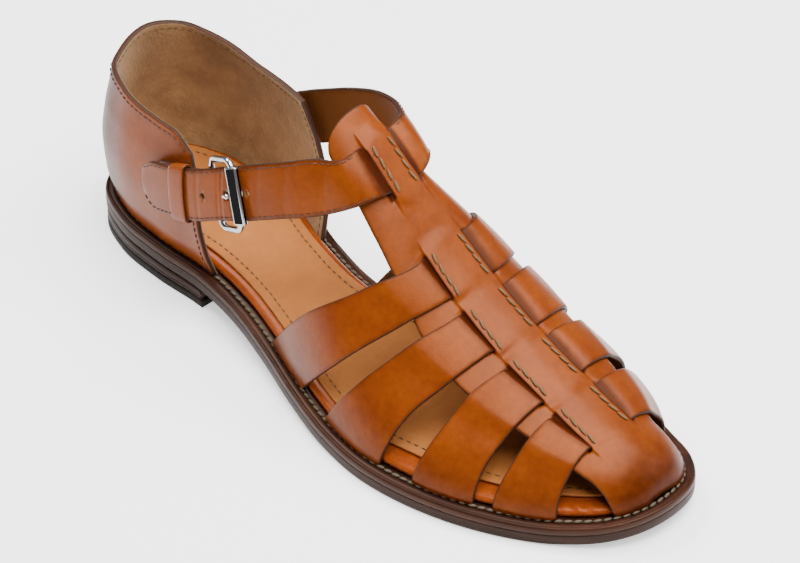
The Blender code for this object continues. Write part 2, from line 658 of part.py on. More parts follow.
def make_buckle(group, mats):
    """Plated frame: a broad bar over the strap, a hinge bar under it, joined by two loops."""
    front, front_out = strap_point(FRONT_BAR_AT)
    hinge, hinge_out = strap_point(HINGE_BAR_AT)
    run, up, out = shoe_axes((FRONT_BAR_AT + HINGE_BAR_AT) / 2)
    wire = FRAME_WIRE / 2
    a = front + front_out * (reach_out(FRONT_BAR_AT, 0.32, 1) + GAP + wire)
    b = hinge - hinge_out * (reach_out(HINGE_BAR_AT, 0.2, -1) + GAP + wire)
    up_a = lean(up, strap_up(FRONT_BAR_AT))
    up_b = lean(up, strap_up(HINGE_BAR_AT))
    along = (b - a) / np.linalg.norm(b - a)
    upper = []
    lower = []
    for end, way, sign in ((a, up_a, 1), (b, up_b, -1)):
        for k in range(6):
            t = math.radians(90.0 * k / 5)
            if sign < 0:
                t = math.radians(90.0) - t
            reach = way * (FRAME_HALF - FRAME_BEND * (1 - math.sin(t)))
            shift = along * sign * FRAME_BEND * (1 - math.cos(t))
            upper.append(end + reach + shift)
            lower.append(end - reach + shift)
    frame = rod("buckle_frame", upper + lower[::-1], wire, True, group, mats["metal"])
    flat_way = np.cross(front_out, up_a)
    flat_way = flat_way / np.linalg.norm(flat_way)
    if flat_way.dot(along) < 0:
        flat_way = -flat_way
    plate = bar_box(a + front_out * 0.1, np.cross(flat_way, front_out), flat_way, front_out,
                    FRAME_HALF - 2.6, FRONT_BAR / 2, wire * 0.85)
    bar = add_object("front_bar", plate, mats["metal"], group)
    join(frame, bar, "UNION")
    bpy.data.objects.remove(bar)
    hole, hole_out = strap_point(HOLES[1])
    tip = a + flat_way * (FRONT_BAR / 2 + GAP + PRONG) + front_out * 1.3
    points = [b - along * (wire + GAP + PRONG) - hinge_out * 0.3,
              hole - hole_out * 1.5, hole + hole_out * 0.9,
              hole + hole_out * (STRAP_WALL + 1.7), tip]
    keyed = [(float(i),) + tuple(q) for i, q in enumerate(points)]
    t = np.linspace(0, 4, 17)
    line = np.stack([blend(keyed, t, 1 + k) for k in range(3)], 1)
    rod("buckle_prong", line, PRONG, False, group, mats["metal"])


def make_keeper(group, mats):
    """Leather loop round the strap's free end."""
    rows = np.linspace(KEEPER_AT[0], KEEPER_AT[1], 4)
    inner = [keeper_ring(at, GAP) for at in rows]
    outer = [keeper_ring(at, GAP + KEEPER_WALL) for at in rows][::-1]
    add_object("keeper", ring_loft(inner + outer, capped=False), mats["leather"], group)


def keeper_ring(at, clear):
    """A loop round the strap's section, clear of it by a distance."""
    up = strap_up(at)
    soft = clear * 0.6
    front = []
    back = []
    for across in (0.0, 0.25, 0.5, 0.75, 1.0):
        face, out = strap_point(at, across)
        edge = up * (1 if across == 0.0 else -1 if across == 1.0 else 0)
        if across in (0.0, 1.0):
            front.append((across, face + out * (STRAP_WALL + clear) + edge * (clear - soft)))
            front.append((across, face + out * (STRAP_WALL + clear - soft) + edge * clear))
            back.append((across, face - out * clear + edge * (clear - soft)))
            back.append((across, face - out * (clear - soft) + edge * clear))
        else:
            front.append((across, face + out * (STRAP_WALL + clear)))
            back.append((across, face - out * clear))
    front = [front[1], front[0]] + front[2:]
    back = [back[1], back[0]] + back[2:]
    return np.array([q[1] for q in front] + [q[1] for q in back[::-1]])


def add_tab(counter, group, mats):
    """Short strap that runs forward from the counter, under the free end, to the hinge bar."""
    rows = np.linspace(TAB[0][0], TAB[-1][0], 11)
    outside = []
    inside = []
    for at in rows:
        depth = float(blend(TAB, at, 1))
        near = []
        far = []
        for across in (0.06, 0.28, 0.5, 0.72, 0.94):
            face, out = strap_point(at, across)
            near.append(face - out * depth)
            far.append(face - out * (depth + STRAP_WALL))
        outside.append(near)
        inside.append(far)
    bm = wall_mesh(np.array(inside), np.array(outside))
    tab = add_object("tab", bm, mats["leather"], group)
    join(counter, tab, "UNION")
    bpy.data.objects.remove(tab)


def lean(one, other):
    """Mostly the first direction, leaning a little to the other."""
    d = one * 0.75 + other * 0.25
    return d / np.linalg.norm(d)


def strap_up(at):
    """Direction across the outer strap at a row position."""
    p, crown = band_grid(OUTER_STRAP, 91, 9)
    i = int(round(at * 10))
    d = p[i, 0] - p[i, -1]
    return d / np.linalg.norm(d)


def reach_out(at, span, side):
    """How far the strap's skin stands out, or in, of its middle near a row position."""
    p, crown = band_grid(OUTER_STRAP, 91, 9)
    n = band_normals(p, -1)
    p = p + n * crown * 0.7
    i = int(round(at * 10))
    w = int(round(span * 10))
    near = p[i - w:i + w + 1]
    if side > 0:
        near = near + n[i - w:i + w + 1] * STRAP_WALL
    away = ((near - p[i, 4]) * n[i, 4]).sum(2)
    return float(away.max() if side > 0 else -away.min())


def bar_box(centre, x, y, z, hx, hy, hz):
    """A cube primitive set along three directions and softened at its long edges."""
    bm = bmesh.new()
    bmesh.ops.create_cube(bm, size=2.0)
    for v in bm.verts:
        v.co = centre + x * v.co.x * hx + y * v.co.y * hy + z * v.co.z * hz
    return bm


def rod(name, points, radius, closed, group, mat):
    """Round bar along a line of points: a bevelled curve, made a mesh with welded caps."""
    curve = bpy.data.curves.new(name, "CURVE")
    curve.dimensions = "3D"
    curve.bevel_depth = radius
    curve.bevel_resolution = 1
    curve.use_fill_caps = True
    line = curve.splines.new("POLY")
    line.points.add(len(points) - 1)
    for spot, q in zip(line.points, points):
        spot.co = (q[0], q[1], q[2], 1.0)
    line.use_cyclic_u = closed
    holder = bpy.data.objects.new(name + "_curve", curve)
    group.objects.link(holder)
    graph = bpy.context.evaluated_depsgraph_get()
    mesh = bpy.data.meshes.new_from_object(holder.evaluated_get(graph))
    bpy.data.objects.remove(holder)
    bm = bmesh.new()
    bm.from_mesh(mesh)
    bmesh.ops.remove_doubles(bm, verts=bm.verts, dist=0.01)
    return add_object(name, bm, mat, group)


def main():
    for ob in list(bpy.data.objects):
        bpy.data.objects.remove(ob, do_unlink=True)
    group = bpy.data.collections.new(NAME)
    cutters = bpy.data.collections.new("cutters")
    bpy.context.scene.collection.children.link(group)
    bpy.context.scene.collection.children.link(cutters)
    mats = {
        "leather": material("cognac_leather", (0.36, 0.115, 0.022), 0.35),
        "suede": material("counter_leather", (0.33, 0.12, 0.035), 0.45),
        "sock": material("natural_sock_leather", (0.56, 0.25, 0.085), 0.5),
        "rim": material("rolled_edge_leather", (0.40, 0.10, 0.025), 0.35),
        "sole": material("dark_sole_edge", (0.085, 0.05, 0.04), 0.45),
        "welt": material("reddish_welt", (0.12, 0.045, 0.02), 0.5),
        "heel": material("black_heel", (0.03, 0.028, 0.027), 0.55),
        "metal": material("plated_steel", (0.75, 0.75, 0.76), 0.15, 1.0),
    }
    make_sole(group, mats)
    make_upper(group, mats)
    make_ankle(group, mats)
    make_counter(group, mats)
    make_buckle(group, mats)
    make_keeper(group, mats)


main()
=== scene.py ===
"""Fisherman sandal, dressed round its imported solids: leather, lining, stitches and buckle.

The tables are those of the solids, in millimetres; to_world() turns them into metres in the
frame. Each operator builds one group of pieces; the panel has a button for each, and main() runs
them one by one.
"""
import math
from types import SimpleNamespace
import bpy
import bmesh
import numpy as np
from bpy.props import FloatProperty, FloatVectorProperty, PointerProperty
from mathutils import Matrix, Vector


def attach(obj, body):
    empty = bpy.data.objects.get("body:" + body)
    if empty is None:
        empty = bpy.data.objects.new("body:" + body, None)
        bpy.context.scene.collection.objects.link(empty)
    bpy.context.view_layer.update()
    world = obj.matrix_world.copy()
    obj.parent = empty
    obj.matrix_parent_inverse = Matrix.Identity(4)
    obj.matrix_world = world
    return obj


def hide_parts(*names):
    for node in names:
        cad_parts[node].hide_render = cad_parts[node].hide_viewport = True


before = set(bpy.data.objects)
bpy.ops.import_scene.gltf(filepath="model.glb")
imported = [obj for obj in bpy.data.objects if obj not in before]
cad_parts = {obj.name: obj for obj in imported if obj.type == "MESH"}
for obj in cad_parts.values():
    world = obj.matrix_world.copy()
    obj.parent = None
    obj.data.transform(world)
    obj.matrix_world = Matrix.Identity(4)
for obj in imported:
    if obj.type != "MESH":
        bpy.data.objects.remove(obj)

bl_info = {
    "name": "Fisherman sandal",
    "version": (1, 0, 0),
    "blender": (4, 5, 0),
    "location": "View3D > Sidebar > Sandal",
    "description": "Builds a leather fisherman sandal piece by piece",
    "category": "Object",
}

MM = 0.001
CENTRE_X = -6.9          # middle of the outline, moved to the origin
CENTRE_Y = 1.0
EDGE_HEIGHT = 8.3        # outsole and welt together, at the rim
GAP = 0.3                # clearance between two solids
WELT_WIDTH = 10.0
LAST_INSET = 6.2
FOOTBED_INSET = 6.9
SOCK_INSET = 14.6
FOOTBED_HEIGHT = 3.6
SOCK_HEIGHT = 1.3
TBAR_WALL = 1.8
STRAP_WALL = 1.9
COUNTER_WALL = 2.4
BREAST_Y = 70.0
CAP_TOP = 27.0           # height under which painted shade darkens the cap's leather
FOOT_DARK = 34.0         # length over which a strap's foot is darkened
EDGE_MARKS = np.array([0.0, 0.12, 0.35, 0.8, 1.5])   # mm from a cut edge to its columns
EDGE_ZONE = 2.6
SLIT = 0.32              # width of the step between the band and the slots
ANKLE_SLOT = (-12.0, 5.6)
ANKLE_WIDTH = 22.6
ANKLE_CROWN = 0.7
ANKLE_DIVE = 2.7         # how far its end dives under the band, and reaches toward its side
ANKLE_REACH = 3.2
ANKLE_ARCH = 1.1         # rise of the buckled strap beside its slot
DRAPE_ROUNDS = 110       # rounds of smoothing that drape the inner half
CAP_DARKENING = 0.74          # strength of each part's darkening: painted shade and a darker tip on the cap, darker toward the welt at a strap's foot, burnish along cut edges and at the heel's back
FOOT_DARKENING = 0.42
EDGE_BURN = 0.5
ANKLE_BURN = 0.6
BACK_BURN = 0.9
WELT_CLEAR = 0.15        # least height of the upper over the welt
LEAST_HEIGHT = 0.3       # least height of a section of the last
PUNCH_DEPTH = 9.0
TAB_WIDTH = 20.0
COUNTER_RUN = 190.0      # rough length and height of the counter, to place its columns
COUNTER_RISE = 62.0
STITCH_TURN = 0.16       # slant of a thick stitch
WAY_STEP = 0.6           # mm on either side from which a line's direction is taken
PROUD = 0.02             # mm by which a row of stitches stands off its leather
LEATHER_SHINE = (1.0, 0.46, 0.29)
OUTLINE_POINTS = 720     # points of the outline's curve, and its steps between two of them
CURVE_STEPS = 24
RING = 440               # points round a layer of the sole, the pleated rim, a row of stitches
RIM_RING = 760
STITCH_RING = 1400
HEEL_RING = 110
TINY = 1e-9
WELD = 0.000004          # metres within which points are one

# Outline of the sole seen from above, from the toe round the outer side and the heel.
OUTLINE = (  # x, y
    (5, -149.0), (-9, -146.4), (-19, -140.6), (-31, -127.5), (-42, -110.5), (-50.5, -92.5),
    (-57, -70), (-59.4, -48), (-57, -24), (-50.5, 1), (-43, 24), (-36.5, 48), (-33.2, 72),
    (-33.6, 98), (-31, 122), (-22, 141), (0, 150.5), (22, 141), (31, 122), (33, 98),
    (29.5, 72), (22, 48), (18, 24), (20.5, 1), (32, -23), (41, -46), (45.6, -70),
    (45.2, -92), (39.8, -117), (33.6, -133.5), (21.4, -145.8),
)
# Height of the outsole's underside: toe spring, flat tread, waist and heel seat.
TREAD = (  # y, z
    (-149, 5.6), (-140, 3.3), (-130, 1.4), (-119, 0.25), (-108, 0), (-45, 0), (-30, 0.5),
    (-10, 1.9), (10, 3.9), (30, 6.0), (50, 7.7), (70, 8.7), (100, 9.5), (150.5, 10.3),
)
# Ridge of the last, under the T-bar.
CREST = (  # y, x, z
    (-142.2, 4, 13.6), (-141.4, 3.8, 18), (-139, 3.4, 22.2), (-134.4, 3, 26.0),
    (-128, 2.4, 29.2), (-119.5, 2, 31.6), (-110, 1.9, 34), (-101, 1.9, 36.9),
    (-88, 1.9, 41.2), (-76.5, 1.8, 45.6), (-65, 1.6, 51.2), (-53.5, 1.5, 57.4),
    (-42, 1.4, 64.8), (-31, 1.4, 72.4), (-20, 1.2, 81), (-12.5, 1, 87.2),
    (3.5, 1, 100.5), (15, 1, 109.5), (24, 1, 116),
)
# Fullness of each section: width and height exponents and the bulge of its wall.
FULLNESS = (  # y, outer p, outer q, inner p, inner q, outer bulge, inner bulge
    (-142.2, 2.0, 2.0, 2.0, 2.0, 0, 0), (-124, 1.75, 1.9, 2.05, 1.95, 0, 0),
    (-110, 1.6, 1.8, 2.7, 2.3, 0, 2.2), (-95, 1.5, 1.75, 2.9, 2.4, 0, 3.2),
    (-65, 1.32, 1.65, 3.1, 2.3, 1, 4), (-41, 1.4, 1.75, 3.8, 2.6, 1, 4.5),
    (-12, 1.8, 1.9, 4.8, 3.5, 1, 5), (24, 2.0, 2.0, 3.2, 2.8, 1, 5),
)
# Half width of the T-bar and toe cap, as a part of the way from the ridge to the welt.
TBAR = (  # y, outer, inner
    (-142.2, 1, 1), (-137.4, 1, 1), (-136, 0.86, 0.88), (-134.2, 0.73, 0.75),
    (-131, 0.62, 0.63), (-126, 0.545, 0.555), (-119.5, 0.505, 0.505), (-110, 0.47, 0.48),
    (-98, 0.44, 0.455), (-80, 0.43, 0.45), (-65, 0.415, 0.435), (-46, 0.355, 0.375),
    (-40, 0.325, 0.35), (-26, 0.26, 0.29), (-16, 0.225, 0.265), (-6, 0.2, 0.235),
    (2, 0.182, 0.2), (9, 0.178, 0.19), (13.4, 0.168, 0.18), (16, 0.138, 0.148),
    (17.2, 0.08, 0.085),
)
# Half width of the raised band between the two rows of slots, in mm along the skin.
BAND = (  # y, half width
    (-128, 10.6), (-100, 10.4), (-76, 10.2), (-47, 9.8), (-31, 9.4), (-12, 6.6), (20, 6.2),
)
# Where each cross strap's edges run, at the slot, the T-bar's edge, the shoulder, the welt.
PLACES = (0.12, 0.40, 0.70, 1.00)
STRAPS = (  # name, outer back edge, outer front edge, inner back edge, inner front edge
    ("a", (-30.3, -20.0, 1.0, 23.0), (-45.6, -37.6, -23.5, -3.5),
     (-30.3, -17.0, 2.5, 20.0), (-47.4, -40.4, -25.0, -7.0)),
    ("b", (-51.4, -45.0, -34.6, -20.6), (-68.6, -64.4, -57.6, -53.4),
     (-52.0, -46.6, -31.5, -14.5), (-70.6, -67.5, -59.7, -52.5)),
    ("c", (-76.0, -72.4, -70.6, -68.2), (-94.8, -93.6, -92.5, -93.4),
     (-75.0, -74.0, -69.2, -65.0), (-94.2, -92.8, -90.7, -89.8)),
    ("d", (-100.9, -99.8, -100.0, -100.0), (-119.6, -119.4, -120.2, -121.6),
     (-100.2, -99.4, -97.8, -95.5), (-120.1, -119.0, -118.6, -117.8)),
)
# Edges of the ankle strap's two halves, each from the slot toward the heel.
OUTER_STRAP = (  # top x, y, z, bottom x, y, z
    (-7.2, 4.8, 103.9, -7.2, -12.2, 90.9), (-15.4, 6.6, 101.2, -17.6, -7.2, 88.3),
    (-20.4, 13.4, 101.0, -25.6, 6.2, 80.4), (-26.8, 27.4, 95.2, -32.4, 21.4, 74.0),
    (-31.6, 43.6, 87.4, -36.6, 38.6, 65.6), (-34.8, 54.0, 82.4, -38.6, 49.6, 60.8),
    (-36.8, 65.6, 76.4, -39.8, 61.4, 54.6), (-37.2, 78.0, 70.8, -39.4, 74.2, 49.4),
    (-36.6, 92.0, 65.4, -38.4, 88.6, 44.6), (-35.8, 97.5, 59.6, -36.8, 96.0, 48.8),
)
INNER_STRAP = (
    (11.4, 5.0, 104.8, 11.0, -12.6, 91.4), (16.4, 7.8, 104.0, 15.6, -11.6, 90.6),
    (20.6, 13.2, 103.2, 20.4, -6.2, 86.8), (24.8, 22.6, 100.8, 25.6, 5.8, 81.6),
    (27.8, 36.0, 95.6, 30.0, 21.6, 76.0), (29.2, 52.0, 87.4, 31.4, 40.0, 66.4),
    (28.6, 66.0, 79.4, 30.8, 56.0, 57.6), (27.4, 78.0, 72.6, 28.8, 68.0, 51.6),
)
# Soft creases of the T-bar, from a slot's end inwards or across, seen from above.
CREASES = (  # x and y of one end, x and y of the other, depth, half width
    (-7.6, -48.4, -1.5, -51.0, 0.5, 1.6), (11.0, -49.6, 4.5, -47.6, 0.5, 1.6),
    (-8.0, -72.2, -1.0, -74.4, 0.5, 1.7), (11.6, -72.8, 5.0, -70.8, 0.5, 1.6),
    (-8.2, -97.8, -2.0, -99.6, 0.45, 1.6), (12.0, -97.2, 6.0, -98.6, 0.45, 1.6),
    (-5.4, -13.4, -0.5, -19.0, 0.45, 1.5), (7.6, -13.4, 3.5, -19.5, 0.45, 1.5),
    (-5.2, 6.6, -1.0, 10.5, 0.35, 1.3), (7.0, 6.6, 3.5, 10.5, 0.35, 1.3),
    (-9.0, -28.6, 1.0, -25.5, 0.4, 2.6), (12.0, -28.6, 3.0, -26.0, 0.3, 2.2),
    (-8.4, -121.6, 2.0, -122.6, 0.45, 0.9), (12.6, -121.8, 2.0, -122.6, 0.45, 0.9),
)
STRAP_CREASES = (  # row of the buckled strap, depth, half width in rows
    (1.9, 0.25, 0.2), (2.9, 0.3, 0.16), (3.55, 0.2, 0.08), (4.38, 0.28, 0.06),
    (4.86, 0.34, 0.05), (5.02, 0.26, 0.045), (5.9, 0.22, 0.06),
)
FRAME_WIRE = 2.6         # thickness of the frame's sides
FRAME_HALF = 14.2        # half height of the frame, along its bars
FRAME_BEND = 3.6         # radius of its corners
PRONG = 0.85             # half thickness of the prong, and radius of its round tip
PRONG_TIP = PRONG * 1.35
BAR_SHORTER = 2.4        # how much less than the frame the broad bar reaches
BAR_BEVEL = 0.75
FRONT_BAR = 5.6          # width of the broad bar that crosses the strap
FRONT_BAR_AT = 4.06      # where the two bars cross the strap, as rows of its table
HINGE_BAR_AT = 5.28
HOLES = ((3.8, 1.35), (4.62, 1.95), (5.63, 1.35))    # row and radius, the prong's second
KEEPER_AT = (6.4, 7.05)
KEEPER_WALL = 1.3
TAB = (  # row of the strap's table, depth of the tab's face below the strap
    (5.56, 0.9), (5.85, 1.1), (6.2, 1.95), (7.1, 1.95), (7.6, 2.9), (8.0, 3.3), (8.4, 3.1),
)
# The counter: how far its wall stands off the welt line, and its top line.
COUNTER_WALLS = (  # part of the height, side offset, back offset
    (0.0, 0.0, 0.0), (0.2, 3.2, 2.6), (0.45, 4.6, 2.6), (0.7, 3.4, -0.6), (0.88, 1.4, -3.8),
    (1.0, 0.2, -5.4),
)
COUNTER_TOP = (  # part of the way from the outer front edge to the inner one, z of top line
    (0.0, 72.0), (0.06, 79.0), (0.16, 79.5), (0.32, 82.5), (0.5, 87.0), (0.68, 80.0),
    (0.84, 74.5), (1.0, 75.5),
)
COUNTER_FRONT = (  # part of the height, y of the outer front edge, y of the inner one
    (0.0, 66.5, 52.5), (0.4, 69.5, 58.5), (0.8, 73.5, 64.0), (1.0, 78.0, 69.0),
)


def blend(table, x, column):
    """Smooth monotone curve through one column of a table whose first column rises."""
    t = np.array([row[0] for row in table], float)
    v = np.array([row[column] for row in table], float)
    h = np.diff(t)
    d = np.diff(v) / h
    m = np.zeros(len(t))
    same = d[:-1] * d[1:] > 0
    w1 = 2 * h[1:] + h[:-1]
    w2 = h[1:] + 2 * h[:-1]
    safe0 = np.where(same, d[:-1], 1.0)
    safe1 = np.where(same, d[1:], 1.0)
    m[1:-1] = np.where(same, (w1 + w2) / (w1 / safe0 + w2 / safe1), 0.0)
    m[0] = d[0]
    m[-1] = d[-1]
    x = np.clip(np.asarray(x, float), t[0], t[-1])
    i = np.clip(np.searchsorted(t, x, side="right") - 1, 0, len(t) - 2)
    u = (x - t[i]) / h[i]
    a = v[i] * (1 + 2 * u) * (1 - u) ** 2 + v[i + 1] * u * u * (3 - 2 * u)
    return a + h[i] * (m[i] * u * (1 - u) ** 2 + m[i + 1] * u * u * (u - 1))


def smooth_step(x):
    x = np.clip(x, 0, 1)
    return x * x * (3 - 2 * x)


def unit(v):
    """Vectors scaled to length one."""
    return v / np.maximum(np.linalg.norm(v, axis=-1, keepdims=True), TINY)


def run_of(line):
    """Distance of each point of a line from its first one, along the line."""
    return np.concatenate([[0], np.cumsum(np.linalg.norm(np.diff(line, axis=0), axis=1))])


def at_run(at, run, line):
    """Points, or other rows, at given distances along a line."""
    return np.stack([np.interp(at, run, column) for column in line.T], 1)


def from_toe(loop):
    return np.roll(loop, -int(loop[:, 1].argmin()), 0)


def closed_curve(points, count):
    """Closed smooth curve through the points, sampled evenly along its length."""
    p = np.array(points, float)
    chord = np.linalg.norm(np.roll(p, -1, 0) - p, axis=1)
    before = np.roll(chord, 1)
    slope_in = (p - np.roll(p, 1, 0)) / before[:, None]
    slope_out = (np.roll(p, -1, 0) - p) / chord[:, None]
    tangent = (slope_in * chord[:, None] + slope_out * before[:, None])
    tangent = tangent / (chord + before)[:, None]
    u = np.linspace(0, 1, CURVE_STEPS, endpoint=False)[:, None]
    fine = []
    for i in range(len(p)):
        j = (i + 1) % len(p)
        a = p[i] * (1 + 2 * u) * (1 - u) ** 2 + p[j] * u * u * (3 - 2 * u)
        fine.append(a + chord[i] * (tangent[i] * u * (1 - u) ** 2 + tangent[j] * u * u * (u - 1)))
    fine = np.vstack(fine + [fine[0][:1]])
    run = run_of(fine)
    return at_run(np.linspace(0, run[-1], count + 1)[:-1], run, fine)


def inset(loop, distance):
    """The loop moved inward by a distance."""
    t = unit(np.roll(loop, -1, 0) - np.roll(loop, 1, 0))
    n = np.stack([t[:, 1], -t[:, 0]], 1)
    sign = np.sign(((loop.mean(0) - loop) * n).sum(1).mean())
    return loop + n * sign * distance


DENSE = closed_curve(OUTLINE, OUTLINE_POINTS)


def two_sides(distance):
    """Outer and inner halves of the inset outline, each from toe to heel."""
    loop = from_toe(inset(DENSE, distance))
    heel = int(loop[:, 1].argmax())
    one = loop[:heel + 1]
    two = np.vstack([loop[heel:], loop[:1]])[::-1]
    return (two, one) if one[len(one) // 2, 0] > two[len(two) // 2, 0] else (one, two)


LAST_OUTER, LAST_INNER = two_sides(LAST_INSET)


def tread_z(y):
    return blend(TREAD, y, 1)


def welt_z(y):
    return tread_z(y) + EDGE_HEIGHT


# Angles round half a section, closer together near the ridge.
QUARTER = 1 - np.linspace(0, 1, 71) ** 1.6
THETA = np.concatenate([-QUARTER[:-1], [0.0], QUARTER[::-1][1:]]) * math.pi / 2
RIDGE = len(THETA) // 2


def sections(y):
    """Cross sections of the last at each y, from the outer welt over the ridge."""
    y = np.asarray(y, float).ravel()[:, None]
    th = THETA[None, :]
    cx = blend(CREST, y, 1)
    cz = blend(CREST, y, 2)
    outer = np.interp(y, LAST_OUTER[:, 1], LAST_OUTER[:, 0])
    inner = np.interp(y, LAST_INNER[:, 1], LAST_INNER[:, 0])
    z0 = welt_z(y) + GAP
    side = th < 0
    p, q, bulge = (np.where(side, blend(FULLNESS, y, one), blend(FULLNESS, y, two))
                   for one, two in ((1, 3), (2, 4), (5, 6)))
    w = np.where(side, outer - cx, inner - cx)
    across = np.abs(np.sin(th)) ** (2 / p)
    up = np.abs(np.cos(th)) ** (2 / q)
    height = np.maximum(cz - z0, LEAST_HEIGHT)
    x = cx + w * across + np.sign(w) * bulge * 4 * up * (1 - up) * across
    return np.stack([x, np.broadcast_to(y, x.shape), z0 + height * up], -1)


def lengths(y):
    """Skin length from the ridge to the outer and to the inner welt."""
    step = np.linalg.norm(np.diff(sections(y), axis=1), axis=2)
    return step[:, :RIDGE].sum(1), step[:, RIDGE:].sum(1)


def long_at(y, side):
    return lengths(y)[0 if side < 0 else 1]


def skin(y, f):
    """Points on the last at y, f of the way from the ridge to the welt (outer is negative)."""
    y = np.asarray(y, float)
    shape = y.shape
    f = np.asarray(f, float).ravel()
    s = sections(y)
    step = np.linalg.norm(np.diff(s, axis=1), axis=2)
    run = np.concatenate([np.zeros((len(s), 1)), np.cumsum(step, 1)], 1)
    run = run - run[:, RIDGE:RIDGE + 1]
    out = np.empty((len(s), 3))
    for i in range(len(s)):
        t = f[i] * (run[i, -1] if f[i] > 0 else -run[i, 0])
        out[i] = [np.interp(t, run[i], s[i, :, k]) for k in range(3)]
    return out.reshape(shape + (3,))


def skin_normals(y, f):
    """Normals of the last at single points."""
    step, part = 0.4, 0.01
    a = skin(y + step, f) - skin(y - step, f)
    b = skin(y, np.clip(f + part, -1, 1)) - skin(y, np.clip(f - part, -1, 1))
    n = unit(np.cross(a, b))
    return np.where(n[..., 2:3] < 0, -n, n)


def raw_normals(p):
    """Unit normals of a grid of points, all on one side of it."""
    return unit(np.cross(np.gradient(p, axis=0), np.gradient(p, axis=1)))


def grid_normals(p):
    """Unit normals of a grid of points, pointing up."""
    n = raw_normals(p)
    return -n if n[:, :, 2].sum() < 0 else n


def edge_profile(away):
    """Rounding of a cut leather edge: low and high share of the wall, and how painted it is."""
    low = np.interp(away, (0.0, 0.12, 0.35, 0.8), (0.36, 0.17, 0.05, 0.0))
    paint = np.interp(away, (0.0, 0.3, 0.55), (1.0, 0.85, 0.0))
    return low, 1 - low, paint


def to_world(p):
    """From the tables' millimetres to metres in the frame."""
    return (np.asarray(p, float) - np.array([CENTRE_X, CENTRE_Y, 0.0])) * MM


# Meshes and objects

def layer_of(bm, name):
    return bm.verts.layers.float.get(name) or bm.verts.layers.float.new(name)


def faces_of(verts):
    return {f for v in verts for f in v.link_faces}


def shade(faces, slot=0):
    """Give faces a material slot and smooth shading."""
    for f in faces:
        f.material_index = slot
        f.smooth = True


def add_grid(bm, grid, slot=0):
    """A grid primitive moved to the given points, which are in millimetres."""
    rows, cols = grid.shape[:2]
    verts = bmesh.ops.create_grid(bm, x_segments=cols - 1, y_segments=rows - 1, size=1)["verts"]
    for v, place in zip(verts, to_world(grid).reshape(-1, 3)):
        v.co = place
    shade(faces_of(verts), slot)
    return verts


def leather_sheet(bm, grid, normals, thick, away, burn_and_shade=None, lining=1):
    """One closed wall of leather on a grid, with rounded and painted edges."""
    rows, cols = grid.shape[:2]
    low, high, paint = edge_profile(away)
    burn_and_shade = np.zeros((rows, cols)) if burn_and_shade is None else burn_and_shade
    # The burn_and_shade marks hold burnish and painted shade.
    marks = [(layer_of(bm, "paint"), paint.ravel()), (layer_of(bm, "burn_and_shade"), burn_and_shade.ravel())]
    sheets = []
    for share, slot in ((low, lining), (high, 0)):
        verts = add_grid(bm, grid + normals * (thick * share)[:, :, None], slot)
        for layer, values in marks:
            for v, value in zip(verts, values):
                v[layer] = value
        sheets.append(verts)
    rim = [(0, j) for j in range(cols)] + [(i, cols - 1) for i in range(1, rows)]
    rim += [(rows - 1, j) for j in range(cols - 2, -1, -1)]
    rim += [(i, 0) for i in range(rows - 2, 0, -1)]
    ring = [i * cols + j for i, j in rim]
    inside, outside = sheets
    shade([bm.faces.new((inside[a], inside[b], outside[b], outside[a]))
           for a, b in zip(ring, ring[1:] + ring[:1])])
    faces = list(faces_of(inside) | faces_of(outside))
    bmesh.ops.recalc_face_normals(bm, faces=faces)
    middle = outside[(rows // 2) * cols + cols // 2]
    out = Vector(normals[rows // 2, cols // 2])
    if sum(f.normal.dot(out) for f in middle.link_faces) < 0:
        bmesh.ops.reverse_faces(bm, faces=faces)


def mesh_of(name, bm, mats):
    mesh = bpy.data.meshes.new(name)
    bm.to_mesh(mesh)
    bm.free()
    for m in mats:
        mesh.materials.append(m)
    return mesh


def add_object(name, data):
    ob = bpy.data.objects.new(name, data)
    bpy.context.scene.collection.objects.link(ob)
    return ob


def evaluated_mesh(ob):
    graph = bpy.context.evaluated_depsgraph_get()
    return bpy.data.meshes.new_from_object(ob.evaluated_get(graph))


def finish_piece(name, bm, mats, cad=None):
    """Make the mesh an object at the origin, give it its finishes and set it on its body."""
    ob = add_object(name, mesh_of(name, bm, mats))
    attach(ob, "root")
    if cad:
        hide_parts(cad)
    return ob


def frame_at(axes, centre):
    """Matrix with the three axes as columns and a centre in metres."""
    return Matrix([[a[k] for a in axes] + [centre[k]] for k in range(3)] + [[0, 0, 0, 1]])


def grains(bm, spots, ways, normals, length, thick, slot, sunk):
    """Stitches: rounded grains of thread laid along a line, each sunk a little."""
    scale = Matrix.Diagonal((thick * 0.5 * MM, thick * 0.5 * MM, length * 0.5 * MM, 1.0))
    for p, t, n in zip(spots, unit(ways), normals):
        n = unit(n - t * n.dot(t))
        centre = to_world(p + n * thick * (0.5 - sunk))
        place = frame_at((np.cross(n, t), n, t), centre) @ scale
        made = bmesh.ops.create_uvsphere(bm, u_segments=6, v_segments=6, radius=1.0, matrix=place)
        shade(faces_of(made["verts"]), slot)


def stitch_row(bm, line, normals, pitch, length, thick, margin=1.0, turn=0.0, slot=0, sunk=0.25):
    """Stitches at an even pitch along a line; length is their share of the pitch."""
    run = run_of(line)
    span = run[-1] - 2 * margin
    count = max(1, int(span / pitch))
    at = margin + (np.arange(count) + 0.5) * span / count
    ways = at_run(at + WAY_STEP, run, line) - at_run(at - WAY_STEP, run, line)
    ups = at_run(at, run, normals)
    ways = ways + np.cross(ups, ways) * turn
    grains(bm, at_run(at, run, line), ways, ups, pitch * length, thick, slot, sunk)


def ring_stitches(name, ring, mat, pitch, length, thick, sunk, turn=0.0):
    """A closed row of stitches along a ring."""
    line = np.vstack([ring, ring[:1]])
    up = np.tile((0.0, 0.0, 1.0), (len(line), 1))
    bm = bmesh.new()
    stitch_row(bm, line, up, pitch, length, thick, 0.0, turn, sunk=sunk)
    finish_piece(name, bm, [mat])


# Surfaces of the upper

